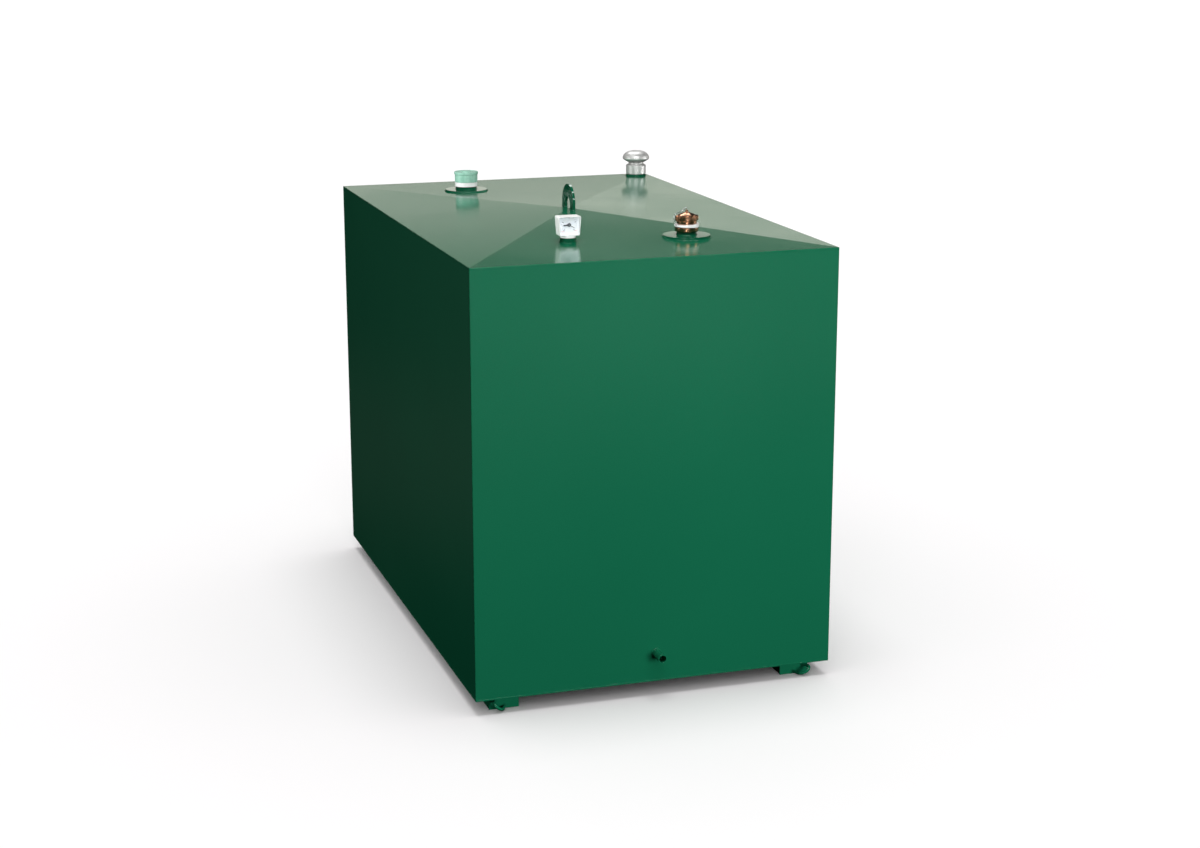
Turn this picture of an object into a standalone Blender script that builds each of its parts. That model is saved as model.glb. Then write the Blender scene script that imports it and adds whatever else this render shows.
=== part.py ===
"""Rectangular welded steel fuel tank on two box-section skids, with a cross-broken roof.

The shell is six plates, 3 mm thick. The roof sheet is folded along its diagonals, so that it rises a
little to a lifting eye in the middle. On the roof stand a float gauge, a screwed fill point with a
bronze cap and its retaining chain, a mushroom vent and an inspection fitting. A short outlet pipe comes
out low on the front, and each skid has a tie-down loop at both ends.

Metres, +Z up, the gauge and the outlet on the front face, which looks along -Y. Fittings are measured
from the middle of the shell's underside, which the tank_frame empty holds at the skids' height.
"""

import math

import bmesh
import bpy
from mathutils import Matrix, Vector

# Driving dimensions of the shell
TANK_WIDTH = 1.090
TANK_DEPTH = 1.690
SHELL_HEIGHT = 1.250
ROOF_RISE = 0.0195
PLATE = 0.003
SEAT = 0.0003

# Skids and tie-down loops
FOOT_WIDTH = 0.090
FOOT_HEIGHT = 0.045
FOOT_CENTRE = 0.4515
FOOT_INSET = 0.041
FOOT_WALL = 0.003
FOOT_CORNER = 0.0045
LOOP_BAR = 0.0045
LOOP_REACH = 0.044
LOOP_HALF = 0.0174
LOOP_BEND = 0.007
LOOP_LOWEST = 0.003
LOOP_TURN = math.radians(25)
LOOP_SLANT = math.radians(39)

# Outlet low on the front
OUTLET_REACH = 0.052
OUTLET_HEIGHT = 0.085
OUTLET_OUTER = 0.0135
OUTLET_BORE = 0.0107
OUTLET_WELD = 0.0165
OUTLET_INSIDE = 0.012

# Lifting eye: a plate arch across the apex, its faces looking along X
EYE_THICKNESS = 0.008
EYE_HALF_WIDTH = 0.0575
EYE_HEIGHT = 0.075
EYE_HOLE_HALF_WIDTH = 0.025
EYE_HOLE_HEIGHT = 0.0355

# Where the fittings stand on the roof, from the middle of the shell
GAUGE_AT = (-0.1755, -0.5545)
FILL_AT = (0.1847, -0.5632)
VENT_AT = (0.4935, 0.783)
INSPECTION_AT = (-0.184, 0.562)

# Float gauge
GAUGE_SOCKET_RADIUS = 0.0238
GAUGE_SOCKET_TOP = 0.0133
GAUGE_COLLAR_RADIUS = 0.0222
GAUGE_STEM_RADIUS = 0.017
HOUSING_BOTTOM = 0.020
HOUSING_TOP = 0.0765
HOUSING_TOP_WIDTH = 0.068
HOUSING_BOTTOM_WIDTH = 0.0607
HOUSING_DEPTH = 0.040
HOUSING_WALL = 0.0022
HOUSING_RECESS = 0.0100
WINDOW_THICKNESS = 0.0020
DIAL_THICKNESS = 0.0012
HUB_HEIGHT = 0.0514
HUB_RADIUS = 0.0053
POINTER_LENGTH = 0.0172
POINTER_WIDTH = 0.0036
POINTER_THICKNESS = 0.0014
POINTER_ANGLE = math.radians(184)
SPINDLE_RADIUS = 0.0020

# Flanges and sockets of the fill point and the inspection fitting
FLANGE_RADIUS = 0.070
FLANGE_THICKNESS = 0.0060
NECK_RADIUS = 0.0295
NECK_TOP = 0.0150
NECK_BORE = 0.0225
ROOF_HOLE = 0.0240
GAUGE_HOLE = 0.0190

# Fill point, heights above the roof
ADAPTOR_RADIUS = 0.035
ADAPTOR_TOP = 0.0285
ADAPTOR_BORE = 0.0205
STEM_RADIUS = 0.0255
STEM_TOP = 0.0535
BAND_RADIUS = 0.0368
BAND_TOP = 0.0382
CAP_RADIUS = 0.0298
CAP_FLUTES_LOW = 0.0470
CAP_FLUTES_HIGH = 0.0615
CAP_DOME_RADIUS = 0.0209
CAP_DOME_TOP = 0.0712
CAP_FLUTES = 16
KNOB_RADIUS = 0.0044
KNOB_TOP = 0.0783
EAR_REACH = 0.0375
EAR_WIDTH = 0.011
EAR_LOW = 0.0462
EAR_HIGH = 0.0645
CHAIN_RADIUS = 0.0014
CHAIN_SIDE = math.radians(198)

# Vent, heights above the roof
VENT_RADIUS = 0.0348
VENT_SOCKET_TOP = 0.0062
VENT_BODY_TOP = 0.0475
VENT_BORE = 0.0225
HOOD_TOP = 0.0885

# Inspection fitting, heights above the roof
INSPECTION_RADIUS = 0.0350
INSPECTION_SOCKET_TOP = 0.0155
RING_RADIUS = 0.0375
RING_TOP = 0.0300
PLASTIC_CAP_RADIUS = 0.0377
PLASTIC_CAP_LIP = 0.0400
PLASTIC_CAP_LIP_LOW = 0.0555
PLASTIC_CAP_TOP = 0.0645
PLASTIC_CAP_WALL = 0.0030

ROUND = 40


def clear_scene():
    for old in list(bpy.data.objects):
        bpy.data.objects.remove(old)


def srgb(red, green, blue):
    """A colour as read off a screen, 0 to 255, in the linear values that a shader takes."""
    linear = []
    for value in (red, green, blue):
        share = value / 255
        linear.append(share / 12.92 if share <= 0.04045 else ((share + 0.055) / 1.055) ** 2.4)
    return (*linear, 1.0)


def finish(name, colour, roughness, metallic=0.0):
    material = bpy.data.materials.new(name)
    material.use_nodes = True
    shader = material.node_tree.nodes["Principled BSDF"]
    shader.inputs["Base Color"].default_value = colour
    shader.inputs["Roughness"].default_value = roughness
    shader.inputs["Metallic"].default_value = metallic
    material.diffuse_color = colour
    return material


def green_paint():
    return finish("green_paint", srgb(22, 105, 75), 0.35)


def bronze():
    return finish("bronze", srgb(120, 84, 62), 0.35, 1.0)


def cast_aluminium():
    return finish("cast_aluminium", srgb(205, 205, 203), 0.35, 1.0)


def bright_steel():
    return finish("bright_steel", srgb(220, 222, 224), 0.25, 1.0)


def white_plastic():
    return finish("white_plastic", srgb(240, 240, 240), 0.4)


def mint_plastic():
    return finish("mint_plastic", srgb(140, 190, 170), 0.35)


def black_plastic():
    return finish("black_plastic", srgb(30, 30, 32), 0.45)


def dial_paint():
    return finish("dial_paint", srgb(232, 240, 250), 0.5)


def clear_plastic():
    material = finish("clear_plastic", srgb(235, 242, 250), 0.08)
    shader = material.node_tree.nodes["Principled BSDF"]
    shader.inputs["Transmission Weight"].default_value = 0.9
    return material


def empty(name, location, parent=None):
    """A point that the pieces of one fitting are measured from."""
    point = bpy.data.objects.new(name, None)
    point.empty_display_size = 0.05
    point.location = location
    point.parent = parent
    bpy.context.collection.objects.link(point)
    return point


def piece(name, mesh, material, parent, location=(0, 0, 0), turn=0.0):
    obj = bpy.data.objects.new(name, mesh)
    bpy.context.collection.objects.link(obj)
    obj.parent = parent
    obj.location = location
    obj.rotation_euler = (0, 0, turn)
    if material is not None:
        obj.data.materials.append(material)
    return obj


def mesh_from(bm, name, smooth=None):
    """Writes a mesh with its faces pointing out, shaded smooth up to the angle `smooth`."""
    bmesh.ops.remove_doubles(bm, verts=bm.verts, dist=1e-6)
    bmesh.ops.recalc_face_normals(bm, faces=bm.faces)
    mesh = bpy.data.meshes.new(name)
    bm.to_mesh(mesh)
    bm.free()
    if smooth is not None:
        mesh.shade_smooth()
        mesh.set_sharp_from_angle(angle=smooth)
    return mesh


def bevel(obj, width, segments=2):
    modifier = obj.modifiers.new("rounded edges", "BEVEL")
    modifier.width = width
    modifier.segments = segments
    modifier.limit_method = "ANGLE"
    modifier.angle_limit = math.radians(40)


def cut(obj, cutter):
    cutter.hide_render = True
    cutter.display_type = "WIRE"
    modifier = obj.modifiers.new("cut by " + cutter.name, "BOOLEAN")
    modifier.operation = "DIFFERENCE"
    modifier.solver = "EXACT"
    modifier.object = cutter


def join(obj, other):
    """Fuses another closed shape into this one."""
    other.hide_render = True
    other.display_type = "WIRE"
    modifier = obj.modifiers.new("fused with " + other.name, "BOOLEAN")
    modifier.operation = "UNION"
    modifier.solver = "EXACT"
    modifier.object = other


def block_mesh(name, size):
    bm = bmesh.new()
    bmesh.ops.create_cube(bm, size=1.0)
    bmesh.ops.scale(bm, vec=size, verts=bm.verts)
    return mesh_from(bm, name)


def block(name, low, high, material, parent):
    """A plate or block between two corners, with its origin in its middle."""
    low = Vector(low)
    high = Vector(high)
    return piece(name, block_mesh(name, high - low), material, parent, (low + high) / 2)


def turned_mesh(name, profile, steps=ROUND, smooth=math.radians(30), reshape=None):
    """Turns a profile of (radius, height) points about Z. A profile that leaves the axis is a ring."""
    bm = bmesh.new()
    points = [bm.verts.new((radius, 0, height)) for radius, height in profile]
    edges = [bm.edges.new(pair) for pair in zip(points, points[1:])]
    if profile[0][0] > 0 and profile[-1][0] > 0:
        edges.append(bm.edges.new((points[-1], points[0])))
    bmesh.ops.spin(
        bm, geom=points + edges, cent=(0, 0, 0), axis=(0, 0, 1), angle=math.tau, steps=steps
    )
    bmesh.ops.remove_doubles(bm, verts=bm.verts, dist=1e-6)
    if reshape is not None:
        for vertex in bm.verts:
            reshape(vertex.co)
    return mesh_from(bm, name, smooth)


def turned(name, profile, material, parent, steps=ROUND, reshape=None):
    return piece(name, turned_mesh(name, profile, steps, reshape=reshape), material, parent)


def round_corner(centre, radius, start, end, steps=3):
    """Points of a quarter or smaller arc in a profile, from one angle to another in degrees."""
    points = []
    for step in range(steps + 1):
        angle = math.radians(start + (end - start) * step / steps)
        points.append((centre[0] + radius * math.cos(angle), centre[1] + radius * math.sin(angle)))
    return points


def roof_height(x, y):
    """The roof's upper face at a point of its plan, above the shell's underside."""
    share = max(abs(x) / (TANK_WIDTH / 2), abs(y) / (TANK_DEPTH / 2))
    return SHELL_HEIGHT + ROOF_RISE * (1 - share)


def follow_roof(place, below):
    """Brings the foot of a fitting down to the sloping roof, a seat's gap above it."""

    def reshape(co):
        if co.z < below:
            slope = roof_height(place[0] + co.x, place[1] + co.y) - roof_height(*place)
            co.z += slope + SEAT

    return reshape


def shell(frame):
    """Six plates. The front and back cover the side plates' ends, and the roof sheet lies on all four."""
    paint = green_paint()
    half_width = TANK_WIDTH / 2
    half_depth = TANK_DEPTH / 2
    low = PLATE + SEAT
    high = SHELL_HEIGHT - PLATE - SEAT
    front = block(
        "front_plate", (-half_width, -half_depth, low), (half_width, -half_depth + PLATE, high),
        paint, frame,
    )
    block(
        "back_plate", (-half_width, half_depth - PLATE, low), (half_width, half_depth, high),
        paint, frame,
    )
    side_end = half_depth - PLATE - SEAT
    for side, sign in (("left", -1), ("right", 1)):
        inner = sign * (half_width - PLATE)
        outer = sign * half_width
        block(
            side + "_side_plate", (min(inner, outer), -side_end, low),
            (max(inner, outer), side_end, high), paint, frame,
        )
    block(
        "bottom_plate", (-half_width, -half_depth, 0), (half_width, half_depth, PLATE), paint, frame
    )
    return front


def roof(frame):
    """One sheet folded along its diagonals, with a hole under each fitting."""
    bm = bmesh.new()
    rings = []
    for drop in (0, PLATE):
        corners = []
        for x, y in ((-1, -1), (1, -1), (1, 1), (-1, 1)):
            place = (x * TANK_WIDTH / 2, y * TANK_DEPTH / 2, SHELL_HEIGHT - drop)
            corners.append(bm.verts.new(place))
        apex = bm.verts.new((0, 0, SHELL_HEIGHT + ROOF_RISE - drop))
        for first, second in zip(corners, corners[1:] + corners[:1]):
            bm.faces.new((first, second, apex))
        rings.append(corners)
    top, under = rings
    for index in range(4):
        after = (index + 1) % 4
        bm.faces.new((top[index], top[after], under[after], under[index]))
    sheet = piece("roof_plate", mesh_from(bm, "roof_plate"), green_paint(), frame)
    holes = (
        ("gauge", GAUGE_AT, GAUGE_HOLE),
        ("fill", FILL_AT, ROOF_HOLE),
        ("vent", VENT_AT, ROOF_HOLE),
        ("inspection", INSPECTION_AT, ROOF_HOLE),
    )
    for name, place, radius in holes:
        length = 0.04
        profile = [(0, length), (radius, length), (radius, -length), (0, -length)]
        cutter = piece(name + "_hole", turned_mesh(name + "_hole", profile, 24), None, frame)
        cutter.location = (*place, SHELL_HEIGHT)
        cut(sheet, cutter)


def arch_outline(half_width, height, foot, steps):
    """An arch with upright legs and a half-round top, as (y, z) points from one foot to the other."""
    spring = height - half_width
    points = [(half_width, foot)]
    for step in range(steps + 1):
        angle = math.pi * step / steps
        points.append((half_width * math.cos(angle), spring + half_width * math.sin(angle)))
    points.append((-half_width, foot))
    return points


def lifting_eye(frame):
    """A plate arch across the apex. Its legs end on the front and back slopes of the roof."""
    outer = arch_outline(EYE_HALF_WIDTH, EYE_HEIGHT, 0, 24)
    inner = arch_outline(EYE_HOLE_HALF_WIDTH, EYE_HOLE_HEIGHT, 0, 24)
    apex = roof_height(0, 0)
    bm = bmesh.new()
    faces = []
    for x in (-EYE_THICKNESS / 2, EYE_THICKNESS / 2):
        rows = []
        for outline in (outer, inner):
            row = []
            for y, z in outline:
                if z == 0:
                    z = roof_height(x, y) - apex + SEAT
                row.append(bm.verts.new((x, y, z)))
            rows.append(row)
        faces.append(rows)
    (outer_left, inner_left), (outer_right, inner_right) = faces
    for a, b in ((outer_left, inner_left), (outer_right, inner_right),
                 (outer_left, outer_right), (inner_left, inner_right)):
        for index in range(len(a) - 1):
            bm.faces.new((a[index], a[index + 1], b[index + 1], b[index]))
    for end in (0, -1):
        bm.faces.new((outer_left[end], outer_right[end], inner_right[end], inner_left[end]))
    mesh = mesh_from(bm, "lifting_eye", math.radians(30))
    piece("lifting_eye", mesh, green_paint(), frame, (0, 0, apex))


def outlet(frame, front):
    """A pipe stub through the front plate, with the weld round its foot."""
    paint = green_paint()
    point = empty("outlet", (0, -TANK_DEPTH / 2, OUTLET_HEIGHT), frame)
    point.rotation_euler = (math.radians(90), 0, 0)
    chamfer = 0.0008
    pipe = [
        (OUTLET_OUTER, OUTLET_REACH - chamfer),
        (OUTLET_OUTER, -OUTLET_INSIDE),
        (OUTLET_BORE, -OUTLET_INSIDE),
        (OUTLET_BORE, OUTLET_REACH),
        (OUTLET_OUTER - chamfer, OUTLET_REACH),
    ]
    turned("outlet_pipe", pipe, paint, point, 32)
    inner = OUTLET_OUTER + SEAT
    leg = OUTLET_WELD - inner
    weld = [
        (inner, SEAT + leg),
        *round_corner((inner, SEAT), leg, 60, 0, 2),
        (inner, SEAT),
    ]
    turned("outlet_weld", weld, paint, point, 32)
    length = 0.02
    hole = [(0, length), (inner, length), (inner, -length), (0, -length)]
    cutter = piece("outlet_hole", turned_mesh("outlet_hole", hole, 32), None, point)
    cut(front, cutter)


def rounded_rectangle(half_x, half_z, radius, steps):
    """Corner points of a rectangle with round corners, as (x, z), once around."""
    points = []
    for quarter, (x, z) in enumerate(((1, 1), (-1, 1), (-1, -1), (1, -1))):
        centre = (x * (half_x - radius), z * (half_z - radius))
        points += round_corner(centre, radius, 90 * quarter, 90 * quarter + 90, steps)
    return points


def skid_mesh(name, length, height):
    """A rectangular hollow section along Y."""
    outer = rounded_rectangle(FOOT_WIDTH / 2, height / 2, FOOT_CORNER, 3)
    inner = rounded_rectangle(
        FOOT_WIDTH / 2 - FOOT_WALL, height / 2 - FOOT_WALL, FOOT_CORNER - FOOT_WALL, 3
    )
    bm = bmesh.new()
    rows = []
    for outline in (outer, inner):
        for y in (-length / 2, length / 2):
            rows.append([bm.verts.new((x, y, z)) for x, z in outline])
    outer_front, outer_back, inner_front, inner_back = rows
    for a, b in ((outer_front, outer_back), (inner_front, inner_back),
                 (outer_front, inner_front), (outer_back, inner_back)):
        for index in range(len(a)):
            after = (index + 1) % len(a)
            bm.faces.new((a[index], a[after], b[after], b[index]))
    return mesh_from(bm, name, math.radians(40))


def skids(frame):
    """Two runners of hollow section under the bottom plate, closed by a plate at each end."""
    paint = green_paint()
    reach = TANK_DEPTH / 2 - FOOT_INSET
    tube = skid_mesh("skid", 2 * (reach - PLATE - SEAT), FOOT_HEIGHT - SEAT)
    tube.materials.append(paint)
    middle = -(FOOT_HEIGHT + SEAT) / 2
    for side, sign in (("left", -1), ("right", 1)):
        piece(side + "_skid", tube, None, frame, (sign * FOOT_CENTRE, 0, middle))
        for end, facing in (("front", -1), ("rear", 1)):
            near = facing * reach
            far = facing * (reach - PLATE)
            cover = block(
                f"{side}_skid_{end}_cap",
                (sign * FOOT_CENTRE - FOOT_WIDTH / 2, min(near, far), -FOOT_HEIGHT),
                (sign * FOOT_CENTRE + FOOT_WIDTH / 2, max(near, far), -SEAT),
                paint, frame,
            )
            bevel(cover, 0.0012, 2)


def loop_route():
    """The middle line of a tie-down loop as (out, across): a straight foot, two arms, a round end."""
    route = []
    for side, start in ((LOOP_HALF - LOOP_BEND, 90), (LOOP_BEND - LOOP_HALF, 180)):
        route += round_corner((LOOP_BEND, side), LOOP_BEND, start, start + 90, 4)
    end = LOOP_REACH - 2 * LOOP_BAR - LOOP_HALF
    route += round_corner((end, 0), LOOP_HALF, -90, 90, 12)
    return route


def tie_down_loops(frame):
    """A bar loop on each skid's end. Its foot slants up and outwards, its arms point a little outwards."""
    paint = green_paint()
    reach = TANK_DEPTH / 2 - FOOT_INSET + SEAT + LOOP_BAR
    width = LOOP_HALF * math.cos(LOOP_SLANT)
    rise = LOOP_HALF * math.sin(LOOP_SLANT)
    middle = LOOP_LOWEST - FOOT_HEIGHT + LOOP_BAR + rise
    for side, sign in (("left", -1), ("right", 1)):
        for end, facing in (("front", -1), ("rear", 1)):
            out = Vector((sign * math.sin(LOOP_TURN), facing * math.cos(LOOP_TURN), 0))
            across = Vector((sign * width, 0, rise)) / LOOP_HALF
            name = f"{side}_{end}_tie_down_loop"
            curve = bpy.data.curves.new(name, "CURVE")
            curve.dimensions = "3D"
            curve.bevel_depth = LOOP_BAR
            curve.bevel_resolution = 3
            spline = curve.splines.new("POLY")
            route = loop_route()
            spline.points.add(len(route) - 1)
            for point, (u, v) in zip(spline.points, route):
                point.co = (*(u * out + v * across), 1)
            spline.use_cyclic_u = True
            piece(name, curve, paint, frame, (sign * (FOOT_CENTRE + width), facing * reach, middle))


def roof_point(name, place, frame):
    return empty(name, (*place, roof_height(*place)), frame)


def tapered_block_mesh(name, bottom_width, top_width, depth, low, high):
    """A block that is wider at its top, between two heights, its depth along Y."""
    bm = bmesh.new()
    rows = []
    for width, z in ((bottom_width, low), (top_width, high)):
        corners = ((-1, -1), (1, -1), (1, 1), (-1, 1))
        rows.append([bm.verts.new((x * width / 2, y * depth / 2, z)) for x, y in corners])
    under, top = rows
    bm.faces.new(under)
    bm.faces.new(top)
    for index in range(4):
        after = (index + 1) % 4
        bm.faces.new((under[index], under[after], top[after], top[index]))
    return mesh_from(bm, name)


def housing_width(height):
    """The gauge housing's width at a height above the roof."""
    share = (height - HOUSING_BOTTOM) / (HOUSING_TOP - HOUSING_BOTTOM)
    return HOUSING_BOTTOM_WIDTH + share * (HOUSING_TOP_WIDTH - HOUSING_BOTTOM_WIDTH)


def gauge_face(name, inset, front, back, material, parent):
    """A plate that fills the housing's recess, `inset` inside its walls, between two depths."""
    low = HOUSING_BOTTOM + inset
    high = HOUSING_TOP - inset
    mesh = tapered_block_mesh(
        name, housing_width(low) - 2 * inset, housing_width(high) - 2 * inset, back - front, low, high
    )
    return piece(name, mesh, material, parent, (0, (front + back) / 2, 0))


def gauge(frame):
    """A float gauge: socket, collar, tapered housing with a dial behind a clear window, and a pointer."""
    point = roof_point("gauge", GAUGE_AT, frame)
    white = white_plastic()
    socket = [
        (GAUGE_SOCKET_RADIUS - 0.001, GAUGE_SOCKET_TOP),
        (GAUGE_SOCKET_RADIUS, GAUGE_SOCKET_TOP - 0.001),
        (GAUGE_SOCKET_RADIUS, 0),
        (GAUGE_STEM_RADIUS + 0.001, 0),
        (GAUGE_STEM_RADIUS + 0.001, GAUGE_SOCKET_TOP),
    ]
    turned("gauge_socket", socket, green_paint(), point, 40, follow_roof(GAUGE_AT, 0.005))
    collar = [
        (0, HOUSING_BOTTOM - SEAT),
        (GAUGE_COLLAR_RADIUS, HOUSING_BOTTOM - SEAT),
        (GAUGE_COLLAR_RADIUS, GAUGE_SOCKET_TOP + SEAT),
        (GAUGE_STEM_RADIUS, GAUGE_SOCKET_TOP + SEAT),
        (GAUGE_STEM_RADIUS, -0.010),
        (0, -0.010),
    ]
    turned("gauge_collar", collar, white, point, 40)
    mesh = tapered_block_mesh(
        "gauge_housing", HOUSING_BOTTOM_WIDTH, HOUSING_TOP_WIDTH, HOUSING_DEPTH,
        HOUSING_BOTTOM, HOUSING_TOP,
    )
    housing = piece("gauge_housing", mesh, white, point)
    bevel(housing, 0.0035, 3)
    front = -HOUSING_DEPTH / 2
    recess = gauge_face(
        "gauge_recess", HOUSING_WALL, front - 0.005, front + HOUSING_RECESS, None, point
    )
    cut(housing, recess)
    inset = HOUSING_WALL + SEAT
    gauge_face("gauge_window", inset, front + 0.0002, front + WINDOW_THICKNESS, clear_plastic(), point)
    dial_back = front + HOUSING_RECESS - SEAT
    dial_front = dial_back - DIAL_THICKNESS
    dial = gauge_face("gauge_dial", inset, dial_front, dial_back, dial_paint(), point)
    hub = empty("gauge_hub", (0, 0, HUB_HEIGHT), point)
    hub.rotation_euler = (math.radians(90), 0, 0)
    reach = -dial_front
    spindle = [
        (0, reach + POINTER_THICKNESS + 0.0018),
        (SPINDLE_RADIUS, reach + POINTER_THICKNESS + 0.0018),
        (SPINDLE_RADIUS, reach - DIAL_THICKNESS),
        (0, reach - DIAL_THICKNESS),
    ]
    turned("gauge_spindle", spindle, bright_steel(), hub, 16)
    bore = SPINDLE_RADIUS + SEAT
    length = 0.004
    hole = [(0, reach + length), (bore, reach + length), (bore, reach - length), (0, reach - length)]
    cutter = piece("dial_hole", turned_mesh("dial_hole", hole, 16), None, hub)
    cut(dial, cutter)
    pointer(point, dial_front, bore)


def pointer(point, dial_front, bore):
    """A ring on the spindle with a broad hand, its origin on the axis that it turns about."""
    behind = dial_front - 0.0012
    pivot = empty("pointer_pivot", (0, behind, HUB_HEIGHT), point)
    pivot.rotation_euler = (math.radians(90), 0, 0)
    ring = [
        (HUB_RADIUS, POINTER_THICKNESS),
        (HUB_RADIUS, 0),
        (bore, 0),
        (bore, POINTER_THICKNESS),
    ]
    start = bore + 0.001
    hand_mesh = block_mesh(
        "pointer_hand", (POINTER_LENGTH - start, POINTER_WIDTH, POINTER_THICKNESS - 2 * SEAT)
    )
    hand_mesh.transform(Matrix.Translation(((POINTER_LENGTH + start) / 2, 0, 0)))
    hand = piece("pointer_hand", hand_mesh, None, pivot, (0, 0, POINTER_THICKNESS / 2))
    hand.rotation_euler = (0, 0, POINTER_ANGLE)
    disc = turned("gauge_pointer", ring, black_plastic(), pivot, 24)
    join(disc, hand)


def flange_and_socket(prefix, socket_name, place, point, socket_radius, socket_top):
    """A round flange on the roof and the socket welded into it."""
    paint = green_paint()
    edge = 0.0008
    clear = socket_radius + SEAT
    flange = [
        (FLANGE_RADIUS - edge, FLANGE_THICKNESS),
        (FLANGE_RADIUS, FLANGE_THICKNESS - edge),
        (FLANGE_RADIUS, 0),
        (clear, 0),
        (clear, FLANGE_THICKNESS),
    ]
    turned(prefix + "_flange", flange, paint, point, 56, follow_roof(place, 0.005))
    socket = [
        (socket_radius, socket_top),
        (socket_radius, 0),
        (NECK_BORE, 0),
        (NECK_BORE, socket_top),
    ]
    turned(socket_name, socket, paint, point, ROUND, follow_roof(place, 0.005))


def fill_point(frame):
    """Flange and neck, a bronze adaptor, the white band, the fluted cap and its chain."""
    point = roof_point("fill_point", FILL_AT, frame)
    flange_and_socket("fill", "fill_neck", FILL_AT, point, NECK_RADIUS, NECK_TOP)
    metal = bronze()
    low = NECK_TOP + SEAT
    corner = 0.004
    adaptor = [
        (STEM_RADIUS, STEM_TOP),
        (STEM_RADIUS, ADAPTOR_TOP),
        *round_corner((ADAPTOR_RADIUS - 0.002, ADAPTOR_TOP - 0.002), 0.002, 90, 0, 2),
        *round_corner((ADAPTOR_RADIUS - corner, low + corner), corner, 0, -90, 3),
        (ADAPTOR_BORE, low),
        (ADAPTOR_BORE, STEM_TOP),
    ]
    turned("fill_adaptor", adaptor, metal, point)
    inner = STEM_RADIUS + SEAT
    middle = (ADAPTOR_TOP + SEAT + BAND_TOP) / 2
    half = (BAND_TOP - ADAPTOR_TOP - SEAT) / 2
    band = [
        (inner, middle + half),
        (BAND_RADIUS - 0.002, middle + half),
        (BAND_RADIUS, middle + 0.002),
        (BAND_RADIUS, middle - 0.002),
        (BAND_RADIUS - 0.002, middle - half),
        (inner, middle - half),
    ]
    turned("fill_band", band, white_plastic(), point)
    fill_cap(point, metal)
    fill_chain(point)


def flute(co):
    """Sinks the grip between its lands, as a wave round the cap."""
    radius = math.hypot(co.x, co.y)
    if CAP_FLUTES_LOW < co.z < CAP_FLUTES_HIGH and radius > STEM_RADIUS + 0.001:
        wave = math.cos(CAP_FLUTES * math.atan2(co.y, co.x))
        share = 1 - 0.0017 * (1 - wave) / 2 / radius
        co.x *= share
        co.y *= share


def fill_cap(point, metal):
    """A turned cap with a fluted grip, a dome, a knob for the chain and two ears."""
    low = BAND_TOP + SEAT
    inside = STEM_RADIUS + SEAT
    ceiling = STEM_TOP + 0.004
    shelf = CAP_FLUTES_HIGH + 0.0006
    profile = [
        (0, KNOB_TOP),
        (KNOB_RADIUS - 0.001, KNOB_TOP),
        (KNOB_RADIUS, KNOB_TOP - 0.001),
        (KNOB_RADIUS, CAP_DOME_TOP + 0.0015),
        (KNOB_RADIUS + 0.0015, CAP_DOME_TOP),
        (0.013, CAP_DOME_TOP - 0.0022),
        (CAP_DOME_RADIUS, CAP_DOME_TOP - 0.0062),
        (CAP_DOME_RADIUS, shelf + 0.0005),
        (CAP_RADIUS - 0.0015, shelf),
        (CAP_RADIUS - 0.0006, CAP_FLUTES_HIGH - 0.0005),
        (CAP_RADIUS - 0.0006, CAP_FLUTES_LOW + 0.0005),
        (CAP_RADIUS, CAP_FLUTES_LOW - 0.0006),
        (CAP_RADIUS, low),
        (inside, low),
        (inside, ceiling),
        (0, ceiling),
    ]
    cap = turned("fill_cap", profile, metal, point, 4 * CAP_FLUTES, flute)
    for side, sign in (("left", -1), ("right", 1)):
        inner = CAP_RADIUS - 0.004
        size = (EAR_REACH - inner, EAR_WIDTH, EAR_HIGH - EAR_LOW)
        ear = piece(side + "_ear", block_mesh(side + "_ear", size), None, point)
        ear.location = (sign * (EAR_REACH + inner) / 2, 0, (EAR_HIGH + EAR_LOW) / 2)
        bevel(ear, 0.0025, 2)
        join(cap, ear)


def fill_chain(point):
    """The retaining chain from the cap's knob to the white band, drawn as a plain cord of its width."""
    top = KNOB_TOP + SEAT
    at_band = BAND_RADIUS + SEAT + 0.0006
    route = [
        (0.0000, top),
        (0.0004, top + 0.0052),
        (0.0040, top + 0.0072),
        (0.0108, 0.0813),
        (0.0200, 0.0750),
        (0.0305, 0.0731),
        (0.0400, 0.0707),
        (0.0462, 0.0645),
        (0.0472, 0.0565),
        (0.0460, 0.0485),
        (0.0432, 0.0410),
        (0.0405, 0.0363),
        (at_band, 0.0347),
    ]
    curve = bpy.data.curves.new("fill_chain", "CURVE")
    curve.dimensions = "3D"
    curve.bevel_depth = CHAIN_RADIUS
    curve.bevel_resolution = 1
    curve.use_fill_caps = True
    smooth = smooth_route(route, 3)
    spline = curve.splines.new("POLY")
    spline.points.add(len(smooth) - 1)
    for target, (out, height) in zip(spline.points, smooth):
        target.co = (out, 0, height, 1)
    piece("fill_chain", curve, bright_steel(), point, (0, 0, 0), CHAIN_SIDE)


def smooth_route(route, between):
    """Points of a smooth curve through the route's own points."""
    result = []
    for index in range(len(route) - 1):
        before = route[max(index - 1, 0)]
        start = route[index]
        end = route[index + 1]
        after = route[min(index + 2, len(route) - 1)]
        for step in range(between):
            t = step / between
            spot = []
            for a, b, c, d in zip(before, start, end, after):
                spot.append(
                    b + 0.5 * t * (c - a + t * (2 * a - 5 * b + 4 * c - d + t * (3 * (b - c) + d - a)))
                )
            result.append(tuple(spot))
    result.append(route[-1])
    return result


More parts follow.
